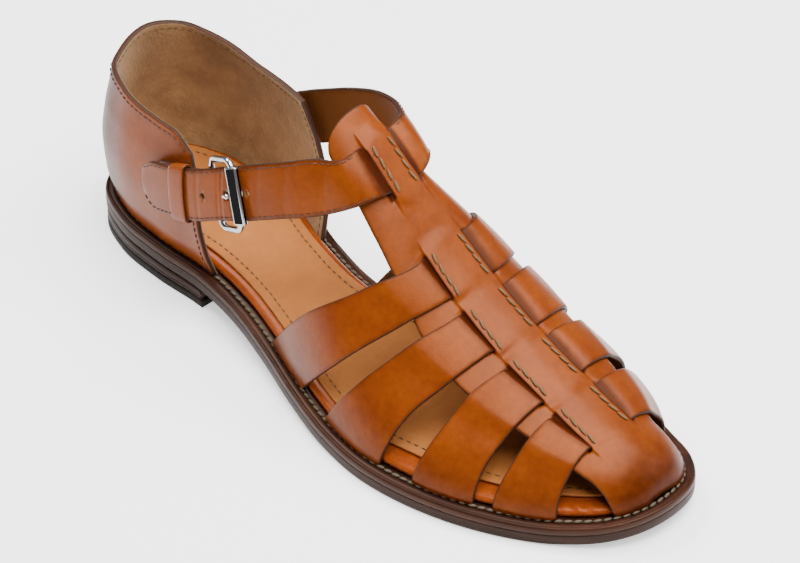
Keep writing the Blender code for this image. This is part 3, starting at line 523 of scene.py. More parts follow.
def trough(p, table):
    """Height of the soft creases at each point of a grid, below the plain surface."""
    x, y = p[:, :, 0], p[:, :, 1]
    total = np.zeros_like(x)
    for x0, y0, x1, y1, deep, wide in table:
        dx, dy = x1 - x0, y1 - y0
        share = np.clip(((x - x0) * dx + (y - y0) * dy) / (dx * dx + dy * dy), 0, 1)
        far = np.hypot(x - x0 - dx * share, y - y0 - dy * share)
        total -= deep * np.exp(-(far / wide) ** 2) * (1 - 0.55 * share)
    return total


def across_marks(width, crown_columns):
    """Columns across a strip, close together at its two edges."""
    middle = np.linspace(EDGE_ZONE, width - EDGE_ZONE, crown_columns)
    return np.concatenate([EDGE_MARKS, middle, width - EDGE_MARKS[::-1]]) / width


def slot_span(row, side):
    """The y of a cross strap's two edges where it enters its slot."""
    back, front = (row[1], row[2]) if side < 0 else (row[3], row[4])
    return front[0], back[0]


def band_lift(y, side, sizes):
    """How far the centre band stands up where straps run under it."""
    lift = np.zeros_like(y)
    spans = [slot_span(row, side) + (sizes.lift,) for row in STRAPS]
    for front, back, high in spans + [(ANKLE_SLOT[0], ANKLE_SLOT[1], sizes.ankle_lift)]:
        rise = smooth_step((y - front + sizes.ramp) / sizes.ramp)
        fall = smooth_step((back + sizes.ramp - y) / sizes.ramp)
        lift = np.maximum(lift, high * rise * fall)
    return lift


def slot_open(y, side):
    """1 where a slot is open at y, on one side of the band."""
    soft = 0.8
    mask = smooth_step((y - ANKLE_SLOT[0] + 0.4) / soft) * smooth_step((ANKLE_SLOT[1] - y) / soft)
    for row in STRAPS:
        front, back = slot_span(row, side)
        mask = np.maximum(mask, smooth_step((y - front + 1.0) / soft)
                          * smooth_step((back + 1.0 - y) / soft))
    return mask


def tbar_sheet(sizes):
    """Grid, normals, lift, edge distance, and burnish with painted shade along the slots, of the
    T-bar and toe cap.
    """
    front, back = TBAR[0][0], TBAR[-1][0]
    toe = front + 4.8 * np.array([0.03, 0.08, 0.15, 0.24, 0.35, 0.48, 0.62, 0.8])
    y = np.concatenate([toe, np.arange(-137.4, -127, 0.7), np.arange(-127, 12.8, 1.05),
                        [13.4, 14.4, 15.3, 16.0, 16.5, 16.9, back]])
    half = blend(BAND, y, 1)
    columns = []         # side, on the band, distance from the ridge, skin length, edge
    for side, length in zip((-1, 1), lengths(y)):
        edge = blend(TBAR, y, 1 if side < 0 else 2) * length
        slit = half * np.minimum(1.0, edge / (half + 4.0))
        marks = [slit * u for u in (0.2, 0.4, 0.6, 0.76, 0.88, 0.95)]
        marks += [slit - SLIT / 2, slit + SLIT / 2]
        free = edge - slit - SLIT / 2
        marks += [slit + SLIT / 2 + free * u for u in (0.08, 0.22, 0.4, 0.58, 0.74, 0.86)]
        marks += [edge - np.minimum(d, free * (0.14 - 0.02 * k))
                  for k, d in enumerate((1.4, 0.8, 0.35, 0.12, 0.0))]
        made = [(side, k < 7, m, length, edge) for k, m in enumerate(marks)]
        columns = made[::-1] if side < 0 else columns + [(1, True, 0 * y, length, edge)] + made
    f = np.stack([c[0] * c[2] / c[3] for c in columns], 1)
    grid_y = np.repeat(y[:, None], f.shape[1], 1)
    p = skin(grid_y, f)
    lift = np.stack([c[1] * band_lift(y, c[0], sizes) for c in columns], 1)
    past = np.stack([c[2] - half for c in columns], 1)
    open_here = np.stack([slot_open(y, c[0]) for c in columns], 1)
    groove = np.where(past > 0, smooth_step(1 - past / sizes.slot_wide), 0.0)
    lift = lift - groove * open_here * sizes.slot_deep
    free = np.stack([c[4] - c[2] for c in columns], 1)
    away = np.minimum(free, np.abs(back - grid_y))
    # Painted shade along each open slot, where a strap dives under the band, and burnish along the
    # cut edges.
    burn_and_shade = np.maximum(smooth_step(1.6 - np.abs(past - 0.5)) * open_here,
                      smooth_step(1 - free / sizes.dark_edge) * EDGE_BURN)
    return p, grid_normals(p), lift, away, burn_and_shade


def strap_profile(y_mid, side, sizes):
    """Distances from the ridge along a strap, as a share and in mm, and its lift there."""
    length = float(long_at(np.array([y_mid]), side)[0])
    half = float(blend(BAND, y_mid, 1))
    edge = float(blend(TBAR, y_mid, 1 if side < 0 else 2)) * length
    rise = [(2.2, 1.0)] if side < 0 else [(2.4, 0.32), (5.2, 0.76), (8.6, 1.0)]
    keyed = [(0.0, -0.9), (half - 2.0, -0.9), (half + 0.2, -0.6)]
    keyed += [(half + past, sizes.over * share) for past, share in rise]
    keyed = [k for k in keyed if k[0] < edge - 1.2]
    keyed += [(edge - 0.6, sizes.over), (edge + 5.5, 0.45), (edge + 9.0, 0.0), (length, 0.0)]
    run = np.concatenate([np.linspace(0, half - 2, 4)[:-1], np.arange(half - 2, edge + 9, 0.9),
                          np.linspace(edge + 9, length, int((length - edge - 9) / 1.6))])
    return run / length, blend(keyed, run, 1), run


def strap_sheet(row, sizes):
    """Grid, normals, edge distance, and darkening of a cross strap, from welt to welt: darker
    toward the welt, burnish along the edges, painted shade at the slots.
    """
    edges = np.array(row[1:])            # outer back, outer front, inner back, inner front
    outer = strap_profile((edges[0, 0] + edges[1, 0]) / 2, -1, sizes)
    inner = strap_profile((edges[2, 0] + edges[3, 0]) / 2, 1, sizes)
    f = np.concatenate([-outer[0][::-1], inner[0][1:]])
    lift = np.concatenate([outer[1][::-1], inner[1][1:]])
    run = np.concatenate([-outer[2][::-1], inner[2][1:]])
    back, front = (blend([(-k, v) for k, v in zip(PLACES, edges[i])][::-1]
                         + list(zip(PLACES, edges[i + 2])), f, 1) for i in (0, 1))
    width = np.abs(front - back)
    u = across_marks(float(width.mean()), 9)
    y = back[:, None] * (1 - u)[None, :] + front[:, None] * u[None, :]
    p = skin(y, np.repeat(f[:, None], len(u), 1))
    n = grid_normals(p)
    crown = (4 * u * (1 - u))[None, :] * sizes.crown
    p = p + n * (lift[:, None] + crown)[:, :, None]
    away = np.minimum(u, 1 - u)[None, :] * width[:, None]
    # Darker toward the welt at each foot, and burnish along the cut edges.
    foot = np.minimum(run - run[0], run[-1] - run)
    burn_and_shade = np.maximum(smooth_step(1 - foot / FOOT_DARK)[:, None] * FOOT_DARKENING,
                      smooth_step(1 - away / sizes.dark_edge) * EDGE_BURN)
    # Painted shade where the strap dives into each of its two slots.
    slots = [float(blend(BAND, (edges[i, 0] + edges[i + 1, 0]) / 2, 1)) for i in (0, 2)]
    dip = np.where(run < 0, np.abs(run + slots[0]), np.abs(run - slots[1]))
    return p, n, away, np.maximum(burn_and_shade, np.clip(1.15 - dip / 4.5, 0, 1)[:, None])


def above_welt(p):
    p = p.copy()
    p[:, :, 2] = np.maximum(p[:, :, 2], welt_z(p[:, :, 1]) + WELT_CLEAR)
    return p


def band_surface(table, rows, u):
    """Rows, grid and outward normals of an ankle strap given by its edges."""
    keyed = [(float(i),) + tuple(r) for i, r in enumerate(table)]
    t = np.linspace(0, len(table) - 1, rows)
    top, bottom = (np.stack([blend(keyed, t, 1 + s + k) for k in range(3)], 1)[:, None, :]
                   for s in (0, 3))
    w = u[None, :, None]
    p = top * (1 - w) + bottom * w
    n = raw_normals(p)
    if n[:, :, 0].sum() * (-1 if table is OUTER_STRAP else 1) < 0:
        n = -n
    return t, p + n * (4 * w * (1 - w)) * ANKLE_CROWN, n


def strap_row(at):
    """One row of the outer strap's inside face, with its normals."""
    _, p, n = band_surface(OUTER_STRAP, 20 * (len(OUTER_STRAP) - 1) + 1, np.linspace(0, 1, 21))
    i = int(round(at * 20))
    return p[i], n[i]


def strap_point(at, across=0.5):
    """A point on the outer strap's inside face and the outward normal there."""
    p, n = strap_row(at)
    j = int(round(across * 20))
    return p[j], n[j]


def strap_up(at):
    p, _ = strap_row(at)
    return unit(p[0] - p[-1])


# Sole, welt and footbed

def outline_ring(distance, count):
    """The sole's outline at an inset, from the toe round, as even points."""
    loop = from_toe(inset(DENSE, distance))
    closed = np.vstack([loop, loop[:1]])
    run = run_of(closed)
    return at_run((np.arange(count) + 0.5) / count * run[-1], run, closed)


def at_height(distance, height, count=RING):
    """Ring at an inset, at a height above the outsole's underside."""
    loop = outline_ring(distance, count)
    return np.column_stack([loop, tread_z(loop[:, 1]) + height])


def sock_ring(distance, height, sizes, count=RING):
    """Ring of the sock, which reaches nearer to the edge behind the ball."""
    plain = at_height(distance, height, count)
    wide = at_height(distance - sizes.sock_wider, height, count)
    back = smooth_step((plain[:, 1] + 65.0) / 45.0)[:, None]
    return plain * (1 - back) + wide * back


def heel_ring(distance, share, height):
    """Ring of the heel at a height above the floor or, with a share of 1, above the tread."""
    loop = from_toe(inset(DENSE, distance))
    back = loop[loop[:, 1] > BREAST_Y + max(distance, 0.2)]
    back = back[np.linspace(0, len(back) - 1, HEEL_RING).round().astype(int)]
    return np.column_stack([back, share * tread_z(back[:, 1]) + height])


def loft(bm, rings):
    """Skin through closed rings of equal count, open until it is welded."""
    return add_grid(bm, np.array([np.vstack([r, r[:1]]) for r in rings]))


def ladder(bm, ring, columns):
    """A cap across the shoe between the two halves of a ring."""
    half = len(ring) // 2
    u = np.linspace(0, 1, columns)[None, :, None]
    add_grid(bm, ring[:half, None, :] * (1 - u) + ring[::-1][:half, None, :] * u)


def weld(bm):
    bmesh.ops.remove_doubles(bm, verts=bm.verts, dist=WELD)
    bmesh.ops.recalc_face_normals(bm, faces=bm.faces)
    if bm.calc_volume(signed=True) < 0:
        bmesh.ops.reverse_faces(bm, faces=bm.faces)


def capped(rings, first, last):
    """A closed solid through the rings, with caps of so many columns."""
    bm = bmesh.new()
    loft(bm, rings)
    ladder(bm, rings[0], first)
    ladder(bm, rings[-1], last)
    weld(bm)
    return bm


def make_outsole(mats):
    profile = [(3.4, 0.0), (1.3, 0.0), (0.7, 0.12), (0.3, 0.45), (0.14, 1.0), (0.1, 2.0),
               (0.08, 3.4), (0.08, 4.6), (0.2, 4.94), (3.5, 4.94)]
    rings = [at_height(d, h) for d, h in profile]
    finish_piece("leather_outsole", capped(rings, 9, 9), [mats["sole"]], "outsole")


def make_heel(mats):
    """Rubber top piece and heel stack, both with softened edges."""
    for name, mat, cad, slot, table in (
            ("rubber_top_piece", "rubber", "heel_top_piece", "black_heel",
             ((1.0, 0, 0.0), (0.5, 0, 0.15), (0.3, 0, 0.5), (0.3, 0, 3.0), (0.45, 0, 3.4),
              (0.9, 0, 3.6))),
            ("heel_stack", "sole", "heel_lift", "dark_sole_edge",
             ((0.9, 0, 3.9), (0.5, 0, 4.15), (0.42, 0, 5.4), (0.6, 0, 5.6), (0.42, 0, 5.8),
              (0.4, 1, -0.6), (0.9, 1, -0.3)))):
        rings = [heel_ring(*place) for place in table]
        finish_piece(name, capped(rings, 5, 5), [mats[mat]], cad)


def make_welt(mats, sizes):
    """Welt with a lip along its rim and a row of thick stitches by the feather line."""
    low, top = 5.0, EDGE_HEIGHT
    profile = [(WELT_WIDTH, low), (0.3, low), (0.12, low + 0.12), (0.1, low + 1.0),
               (0.12, low + 2.3), (0.35, top - 0.45), (0.8, top - 0.02), (1.25, top + 0.02),
               (1.55, top - 0.28), (1.75, top - 0.34), (2.0, top - 0.22), (2.5, top - 0.02),
               (3.4, top), (4.2, top - 0.3), (5.0, top - 0.3), (5.6, top), (WELT_WIDTH, top)]
    rings = [at_height(d, h) for d, h in profile]
    bm = bmesh.new()
    loft(bm, rings + rings[:1])
    weld(bm)
    finish_piece("reddish_welt", bm, [mats["welt"]], "welt")
    ring = at_height(sizes.welt_stitch_inset, top - 0.3, STITCH_RING)
    ring_stitches("welt_stitches", ring, mats["welt_thread"], sizes.welt_stitch, 0.97, 1.5, 0.1,
                  STITCH_TURN)


def make_footbed(mats, sizes):
    """The rolled rim, pleated round the toe, and the tan sock inside it."""
    over = EDGE_HEIGHT + GAP
    top = over + FOOTBED_HEIGHT
    plug = WELT_WIDTH + GAP
    profile = [(plug, 5.2), (plug, over)]
    profile += [(FOOTBED_INSET + d, over + h) for d, h in
                ((0.9, 0.0), (0.3, 0.3), (0.0, 1.0), (-0.05, 1.9), (0.25, 2.7))]
    profile += [(FOOTBED_INSET + d, top + h) for d, h in
                ((0.9, -0.4), (1.9, 0.05), (3.2, 0.25), (4.6, 0.25), (6.0, 0.1))]
    profile += [(SOCK_INSET - 0.9, top), (SOCK_INSET + 2, top - 0.1)]
    rings = [at_height(d, h, RIM_RING) for d, h in profile]
    edge = outline_ring(0, RIM_RING)
    run = run_of(edge)
    toe = smooth_step((-92 - edge[:, 1]) / 40.0)
    pleat = np.sin(run * 1.15) * 0.5 + np.sin(run * 0.73 + 1.2) * 0.5
    gentle = np.sin(run * 0.16 + 0.6) * 0.12
    for ring, (d, h) in zip(rings, profile):
        high = smooth_step((h - over - 0.8) / 2.0) * smooth_step((SOCK_INSET - d) / 3.0 + 0.2)
        ring[:, 2] += high * (sizes.pleat * toe * pleat + gentle)
    finish_piece("rolled_rim", capped(rings, 7, 7), [mats["rim"]], "footbed")
    seat = top + GAP
    rise = seat + SOCK_HEIGHT
    profile = [(0.9, seat), (0.0, seat + 0.1), (-0.1, rise - 0.35), (0.25, rise - 0.03),
               (1.0, rise), (3.0, rise), (3.5, rise - 0.16), (4.1, rise - 0.16), (4.8, rise)]
    rings = [sock_ring(SOCK_INSET + d, h, sizes) for d, h in profile]
    finish_piece("tan_sock", capped(rings, 9, 25), [mats["sock"]], "insole")
    ring = sock_ring(SOCK_INSET + 3.8, rise - 0.1, sizes, STITCH_RING)
    ring_stitches("sock_stitches", ring, mats["fine_thread"], sizes.sock_stitch, 0.62, 0.62, 0.2)


# The upper

def make_tbar(mats, sizes):
    """T-bar with its toe cap, and the thick stitches beside its slots."""
    p, n, lift, away, burn_and_shade = tbar_sheet(sizes)
    surface = above_welt(p + n * (lift + trough(p, CREASES))[:, :, None])
    # The cap gets darker toward its tip, with painted shade low on its sides near the welt.
    toe = np.clip((-116 - p[:, :, 1]) / 25.0, 0, 1) ** 1.4
    low_painted_shade = smooth_step((CAP_TOP - p[:, :, 2]) / 17.0) * smooth_step((-108 - p[:, :, 1]) / 10.0)
    burn_and_shade = np.maximum(burn_and_shade, np.maximum(toe, low_painted_shade) * CAP_DARKENING)
    bm = bmesh.new()
    leather_sheet(bm, surface, n, TBAR_WALL, away, burn_and_shade)
    finish_piece("t_bar_and_toe_cap", bm, [mats["cognac"], mats["flesh"]], "upper")
    bm = bmesh.new()
    for front, back in [(-11.6, 5.2)] + [slot_span(row, 1) for row in STRAPS]:
        y = np.linspace(front + 0.4, back - 0.4, 24)
        for side in (-1, 1):
            f = side * (blend(BAND, y, 1) - sizes.band_stitch_in) / long_at(y, side)
            n = skin_normals(y, f)
            line = skin(y, f) + n * (band_lift(y, side, sizes) + TBAR_WALL)[:, None]
            stitch_row(bm, line, n, sizes.band_stitch, 1.22, 1.4, 0.2, STITCH_TURN * side,
                       sunk=0.24)
    finish_piece("band_stitches", bm, [mats["thick_thread"]])


def make_straps(mats, sizes):
    for row in STRAPS:
        p, n, away, burn_and_shade = strap_sheet(row, sizes)
        bm = bmesh.new()
        leather_sheet(bm, above_welt(p), n, STRAP_WALL, away, burn_and_shade)
        finish_piece("cross_strap_" + row[0], bm, [mats["cognac"], mats["flesh"]])


def ankle_sheet(table, side, rows, u):
    """Rows, grid and normals of an ankle strap as it dives under the band and drapes."""
    t, p, n = band_surface(table, rows, u)
    dive = 0.42 if side < 0 else 0.75
    p = p - n * smooth_step(1 - t / dive)[:, None, None] * ANKLE_DIVE
    if side < 0:
        arch = smooth_step((t - 0.1) / 0.3) * smooth_step(1 - (t - 0.4) / 1.6)
        p = p + n * arch[:, None, None] * ANKLE_ARCH
        for row, deep, wide in STRAP_CREASES:
            p = p - n * (deep * np.exp(-((t - row) / wide) ** 2))[:, None, None]
    p[:, :, 0:1] -= side * ANKLE_REACH * smooth_step(1 - t / 0.55)[:, None, None]
    if side > 0:
        narrow = smooth_step(t / 1.4) * smooth_step(1 - (t - 1.8) / 2.0) * 0.2
        p = p - (p - p[:, :1]) * narrow[:, None, None]
        for _ in range(DRAPE_ROUNDS):
            p[1:-1] = (p[:-2] + 2 * p[1:-1] + p[2:]) / 4
        smooth = grid_normals(p)
        n = smooth * np.sign((smooth * n).sum(2, keepdims=True))
    sway = np.sin(t * 2.1 + 0.5) * 0.25 + np.sin(t * 5.3) * 0.1
    return t, p + n * (sway * smooth_step(t / 1.5))[:, None, None] * 0.6, n


def make_ankle_straps(mats, sizes):
    """The two halves of the ankle strap, punched and stitched along both edges."""
    for name, cad, table, side, rows, reach, lining in (
            ("buckled_strap", "ankle_strap", OUTER_STRAP, -1, 190, 0.6, "flesh"),
            ("inner_ankle_strap", "inside_strap", INNER_STRAP, 1, 150, 0.3, "smooth_lining")):
        u = across_marks(ANKLE_WIDTH, 10)
        t, p, n = ankle_sheet(table, side, rows, u)
        width = np.linalg.norm(p[:, 0] - p[:, -1], axis=1)
        away = np.minimum(np.minimum(u, 1 - u)[None, :] * width[:, None],
                          np.linalg.norm(p - p[-1:], axis=2))
        # Painted shade where the strap dives under the band, over a share of its rows, and darker
        # toward the free end; burnish along the edges.
        ends = np.maximum(smooth_step(1.25 - t / reach), smooth_step((t - 8.2) / 0.8) * 0.4)
        burn_and_shade = np.maximum(ends[:, None], smooth_step(1 - away / sizes.dark_edge) * ANKLE_BURN)
        bm = bmesh.new()
        leather_sheet(bm, p, n, STRAP_WALL, away, burn_and_shade)
        ob = finish_piece(name, bm, [mats["cognac"], mats[lining], mats["raw"]], cad)
        if side < 0:
            for at, radius in HOLES:
                punch(ob, at, radius)
        bm = bmesh.new()
        start = int(rows * 0.05)
        margin = sizes.edge_stitch_in / ANKLE_WIDTH
        for edge in (margin, 1 - margin):
            j = int(np.abs(u - edge).argmin())
            line = p[:, j] + n[:, j] * (STRAP_WALL + PROUD)
            stitch_row(bm, line[start:-2], n[start:-2, j], sizes.edge_stitch, 0.72, 0.55)
        finish_piece(name + "_stitches", bm, [mats["dark_thread"]])


def punch(ob, at, radius):
    """Cut one punched hole; its wall takes the raw leather's finish."""
    face, out = strap_point(at)
    z = Vector(out)
    x = z.orthogonal().normalized()
    bm = bmesh.new()
    bmesh.ops.create_cone(bm, cap_ends=True, segments=28, radius1=radius * MM,
                          radius2=radius * MM, depth=PUNCH_DEPTH * MM,
                          matrix=frame_at((x, z.cross(x), z), to_world(face)))
    for f in bm.faces:
        f.material_index = 2
    cutter = add_object("punch", mesh_of("punch", bm, ob.data.materials))
    step = ob.modifiers.new("hole", "BOOLEAN")
    step.operation = "DIFFERENCE"
    step.solver = "EXACT"
    step.object = cutter
    done = evaluated_mesh(ob)
    ob.modifiers.clear()
    ob.data = done
    bpy.data.objects.remove(cutter)


# Counter

def counter_line(v, at):
    """Outline of the counter at a part v of its height, from outer front to inner front."""
    loop = from_toe(inset(DENSE, LAST_INSET - COUNTER_WALL + GAP))
    if loop[len(loop) // 4, 0] > 0:
        loop = loop[::-1]
    heel = int(loop[:, 1].argmax())
    fronts = [float(blend(COUNTER_FRONT, v, k)) for k in (1, 2)]
    keep = [i for i in range(len(loop)) if loop[i, 1] >= fronts[i > heel]]
    path = loop[keep]
    tips = []
    for end, past, front in ((path[0], loop[keep[0] - 1], fronts[0]),
                             (path[-1], loop[(keep[-1] + 1) % len(loop)], fronts[1])):
        share = (end[1] - front) / max(end[1] - past[1], 1e-6)
        tips.append(end + (past - end) * share)
    path = np.vstack([tips[0], path, tips[1]])
    run = run_of(path)
    here = at * run[-1]
    p = at_run(here, run, path)
    t = unit(at_run(here + 3, run, path) - at_run(here - 3, run, path))
    n = np.stack([t[:, 1], -t[:, 0]], 1)
    n = np.where((n * (p - p.mean(0))).sum(1)[:, None] < 0, -n, n)
    back = np.clip(n[:, 1], 0, 1) ** 2
    push = blend(COUNTER_WALLS, v, 1) * (1 - back) + blend(COUNTER_WALLS, v, 2) * back
    return p + n * push[:, None], run[-1]


def counter_tab(bm):
    """The tab that holds the buckle, below the outer strap."""
    u = np.concatenate([EDGE_MARKS / TAB_WIDTH, np.linspace(0.14, 0.86, 9),
                        1 - EDGE_MARKS[::-1] / TAB_WIDTH])
    rows = np.linspace(TAB[0][0], TAB[-1][0], 46)
    _, p, n = band_surface(OUTER_STRAP, 40 * (len(OUTER_STRAP) - 1) + 1, 0.06 + 0.88 * u)
    i = np.round(rows * 40).astype(int)
    n = n[i]
    p = p[i] - n * (blend(TAB, rows, 1) + STRAP_WALL)[:, None, None]
    away = np.minimum(np.minimum(u, 1 - u)[None, :] * TAB_WIDTH,
                      np.linalg.norm(p - p[:1], axis=2))
    leather_sheet(bm, p, n, STRAP_WALL, away, lining=0)


def make_counter(mats, sizes):
    """Closed heel: cognac outside, burnished at the back, with a tan suede lining."""
    near = np.append(EDGE_MARKS, EDGE_ZONE)
    at = np.concatenate([near / COUNTER_RUN, np.linspace(0.025, 0.975, 130),
                         1 - near[::-1] / COUNTER_RUN])
    v = np.concatenate([np.linspace(0, 0.95, 46), 1 - near[::-1] / COUNTER_RISE])
    grid = []
    for share in v:
        line, length = counter_line(share, at)
        low = welt_z(line[:, 1]) + WELT_CLEAR
        grid.append(np.column_stack([line, low + (blend(COUNTER_TOP, at, 1) - low) * share]))
    p = np.array(grid)
    n = raw_normals(p)
    if (n * (p - np.array([0.0, 100.0, 0.0])))[:, :, :2].sum() < 0:
        n = -n
    n[:, :, 2] *= 1 - smooth_step(1 - v / 0.2)[:, None]
    n = unit(n)
    above = (1 - v) * COUNTER_RISE
    side = np.minimum(at, 1 - at) * length
    burn_and_shade = smooth_step((p[:, :, 1] - 108) / 34.0) * BACK_BURN
    bm = bmesh.new()
    leather_sheet(bm, p - n * COUNTER_WALL, n, COUNTER_WALL,
                  np.minimum(above[:, None], side[None, :]), burn_and_shade)
    counter_tab(bm)
    finish_piece("heel_counter", bm, [mats["counter"], mats["suede"]], "counter")
    k = int(np.abs(above - sizes.counter_stitch_in).argmin())
    j0 = int(np.abs(at * length - sizes.counter_stitch_in).argmin())
    j1 = len(at) - 1 - j0
    bm = bmesh.new()
    for place in ((k, slice(j0, j1 + 1)), (slice(k), j0), (slice(k), j1)):
        line, out = p[place], n[place]
        stitch_row(bm, line + out * PROUD, out, sizes.edge_stitch, 0.72, 0.6)
        stitch_row(bm, line - out * (COUNTER_WALL + PROUD), -out, sizes.edge_stitch, 0.62, 0.5,
                   slot=1, sunk=0.3)
    finish_piece("counter_stitches", bm, [mats["dark_thread"], mats["fine_thread"]])


# Buckle and keeper

def rod(bm, points, radius, closed, name):
    """Round bar: a bevelled curve along the points, added to the mesh with welded caps."""
    curve = bpy.data.curves.new(name, "CURVE")
    curve.dimensions = "3D"
    curve.bevel_depth = radius * MM
    curve.bevel_resolution = 5
    curve.use_fill_caps = True
    line = curve.splines.new("POLY")
    line.points.add(len(points) - 1)
    for spot, q in zip(line.points, to_world(np.array(points))):
        spot.co = (q[0], q[1], q[2], 1.0)
    line.use_cyclic_u = closed
    holder = add_object(name, curve)
    bm.from_mesh(evaluated_mesh(holder))
    bpy.data.objects.remove(holder)
    bmesh.ops.remove_doubles(bm, verts=bm.verts, dist=WELD)
    shade(bm.faces)


def frame_places():
    """Centres and directions of the buckle's two bars, as the solids have them."""
    front, front_out = strap_point(FRONT_BAR_AT)
    hinge, hinge_out = strap_point(HINGE_BAR_AT)
    wire = FRAME_WIRE / 2
    a = front + front_out * (STRAP_WALL + 0.35 + GAP + wire)
    b = hinge - hinge_out * (0.25 + GAP + wire)
    mid = (FRONT_BAR_AT + HINGE_BAR_AT) / 2
    one, n1 = strap_point(mid - 0.3)
    two, n2 = strap_point(mid + 0.3)
    run = unit(two - one)
    out = n1 + n2
    out = unit(out - run * out.dot(run))
    up = np.cross(run, out)
    up = up * np.sign(up[2])
    up_a, up_b = (unit(up * 0.75 + strap_up(at) * 0.25) for at in (FRONT_BAR_AT, HINGE_BAR_AT))
    return a, b, up_a, up_b, front_out, hinge_out


def make_buckle(mats):
    """Plated frame with its broad bar, painted near black for a dark reflection, and the prong."""
    a, b, up_a, up_b, front_out, hinge_out = frame_places()
    wire = FRAME_WIRE / 2
    along = unit(b - a)
    upper, lower = [], []
    for end, way, sign in ((a, up_a, 1), (b, up_b, -1)):
        for t in np.radians(np.linspace(0, 90, 13))[::sign]:
            reach = way * (FRAME_HALF - FRAME_BEND * (1 - math.sin(t)))
            shift = along * sign * FRAME_BEND * (1 - math.cos(t))
            upper.append(end + reach + shift)
            lower.append(end - reach + shift)
    bm = bmesh.new()
    rod(bm, upper + lower[::-1], wire, True, "frame")
    across = unit(np.cross(front_out, up_a))
    across = across * np.sign(across.dot(along))
    face = np.cross(up_a, across)
    face = face * np.sign(face.dot(front_out))
    reach = (FRAME_HALF - BAR_SHORTER, FRONT_BAR / 2, wire * 0.95)
    axes = [way * size * 2 * MM for way, size in zip((up_a, across, face), reach)]
    made = bmesh.ops.create_cube(bm, size=1.0, matrix=frame_at(axes, to_world(a + face * 0.15)))
    # The broad bar takes the near-black plate: a painted dark reflection of the chrome.
    for f in faces_of(made["verts"]):
        f.material_index = 1
    edges = list({e for v in made["verts"] for e in v.link_edges})
    done = bmesh.ops.bevel(bm, geom=edges, offset=BAR_BEVEL * MM, segments=3, profile=0.5,
                           affect="EDGES", material=-1)
    shade(done["faces"])
    bmesh.ops.recalc_face_normals(bm, faces=bm.faces)
    finish_piece("plated_frame", bm, [mats["steel"], mats["steel_painted_dark"]], "buckle_frame")
    hole, hole_out = strap_point(HOLES[1][0])
    tip = a + across * (FRONT_BAR / 2 + GAP + PRONG) + front_out * 1.3
    points = [b - along * (wire + GAP + PRONG) - hinge_out * 0.3, hole - hole_out * 1.5,
              hole + hole_out * 0.9, hole + hole_out * (STRAP_WALL + 1.7), tip]
    keyed = [(float(i),) + tuple(q) for i, q in enumerate(points)]
    line = np.stack([blend(keyed, np.linspace(0, 4, 41), 1 + k) for k in range(3)], 1)
    bm = bmesh.new()
    rod(bm, line, PRONG, False, "prong")
    bmesh.ops.create_uvsphere(bm, u_segments=20, v_segments=12, radius=PRONG_TIP * MM,
                              matrix=Matrix.Translation(Vector(to_world(tip))))
    shade(bm.faces)
    finish_piece("buckle_prong_wire", bm, [mats["steel"]], "buckle_prong")


def keeper_loop(at, clear):
    """A rounded loop round the strap's section, clear of it by a distance."""
    half = STRAP_WALL / 2
    up = strap_up(at)
    front = [strap_point(at, x) for x in np.linspace(0, 1, 13)]
    turns = np.array((0.25, 0.5, 0.75)) * math.pi

    def end(place, way, angles):
        p, n = place
        return [p + way * (clear * math.sin(t)) + n * (half + (half + clear) * math.cos(t))
                for t in angles]

    ring = [p + n * (STRAP_WALL + clear) for p, n in front] + end(front[-1], -up, turns)
    ring += [p - n * clear for p, n in front[::-1]] + end(front[0], up, turns[::-1])
    return np.array(ring)


def make_keeper(mats):
    """Leather loop round the strap's free end, with painted edges."""
    lo, hi = KEEPER_AT
    steps = [(lo, 0.3), (lo, 0.7), (lo + 0.02, 0.92), (lo + 0.06, 1.0), (lo + 0.2, 1.0),
             (hi - 0.2, 1.0), (hi - 0.06, 1.0), (hi - 0.02, 0.92), (hi, 0.7), (hi, 0.3),
             (hi - 0.02, 0.05), (hi - 0.06, 0.0), (lo + 0.06, 0.0), (lo + 0.02, 0.05)]
    rings = [keeper_loop(at, GAP + KEEPER_WALL * share) for at, share in steps]
    bm = bmesh.new()
    paint = layer_of(bm, "paint")
    for k, v in enumerate(loft(bm, rings + rings[:1])):
        row = k // (len(rings[0]) + 1) % len(steps)
        v[paint] = 1.0 if row in (0, 1, 8, 9) else 0.0
    weld(bm)
    finish_piece("strap_keeper", bm, [mats["cognac"]], "keeper")


# Finishes

def feed(tree, made, inputs):
    """Set a node's inputs, each from a socket, a number, a vector or a colour."""
    for key, value in inputs.items():
        socket = made.inputs[key]
        if isinstance(value, bpy.types.NodeSocket):
            tree.links.new(value, socket)
        elif socket.type == "RGBA":
            socket.default_value = (*value, 1.0)
        else:
            socket.default_value = value


def node(tree, kind, inputs, **values):
    """A node with its properties and inputs set."""
    made = tree.nodes.new(kind)
    for key, value in values.items():
        setattr(made, key, value)
    feed(tree, made, inputs)
    return made


def place_of(tree):
    return node(tree, "ShaderNodeTexCoord", {}).outputs["Object"]


def noise(tree, where, scale, detail=2.0, roughness=0.5):
    return node(tree, "ShaderNodeTexNoise", {"Vector": where, "Scale": scale, "Detail": detail,
                                             "Roughness": roughness}).outputs["Fac"]


def bump(tree, height, distance, strength):
    return node(tree, "ShaderNodeBump", {"Height": height, "Distance": distance,
                                         "Strength": strength}).outputs["Normal"]


def math_node(tree, kind, *inputs):
    return node(tree, "ShaderNodeMath", dict(enumerate(inputs)), operation=kind).outputs[0]


def mix_colour(tree, factor, one, two):
    """Mix two colours, each a socket or an RGB value, by a factor."""
    return node(tree, "ShaderNodeMix", {0: factor, 6: one, 7: two}, data_type="RGBA").outputs[2]


def spread(tree, value, low, high, out_low=0.0, out_high=1.0, kind="LINEAR"):
    """A value's range from low to high, spread over another range."""
    return node(tree, "ShaderNodeMapRange",
                {"Value": value, "From Min": low, "From Max": high, "To Min": out_low,
                 "To Max": out_high}, interpolation_type=kind).outputs["Result"]


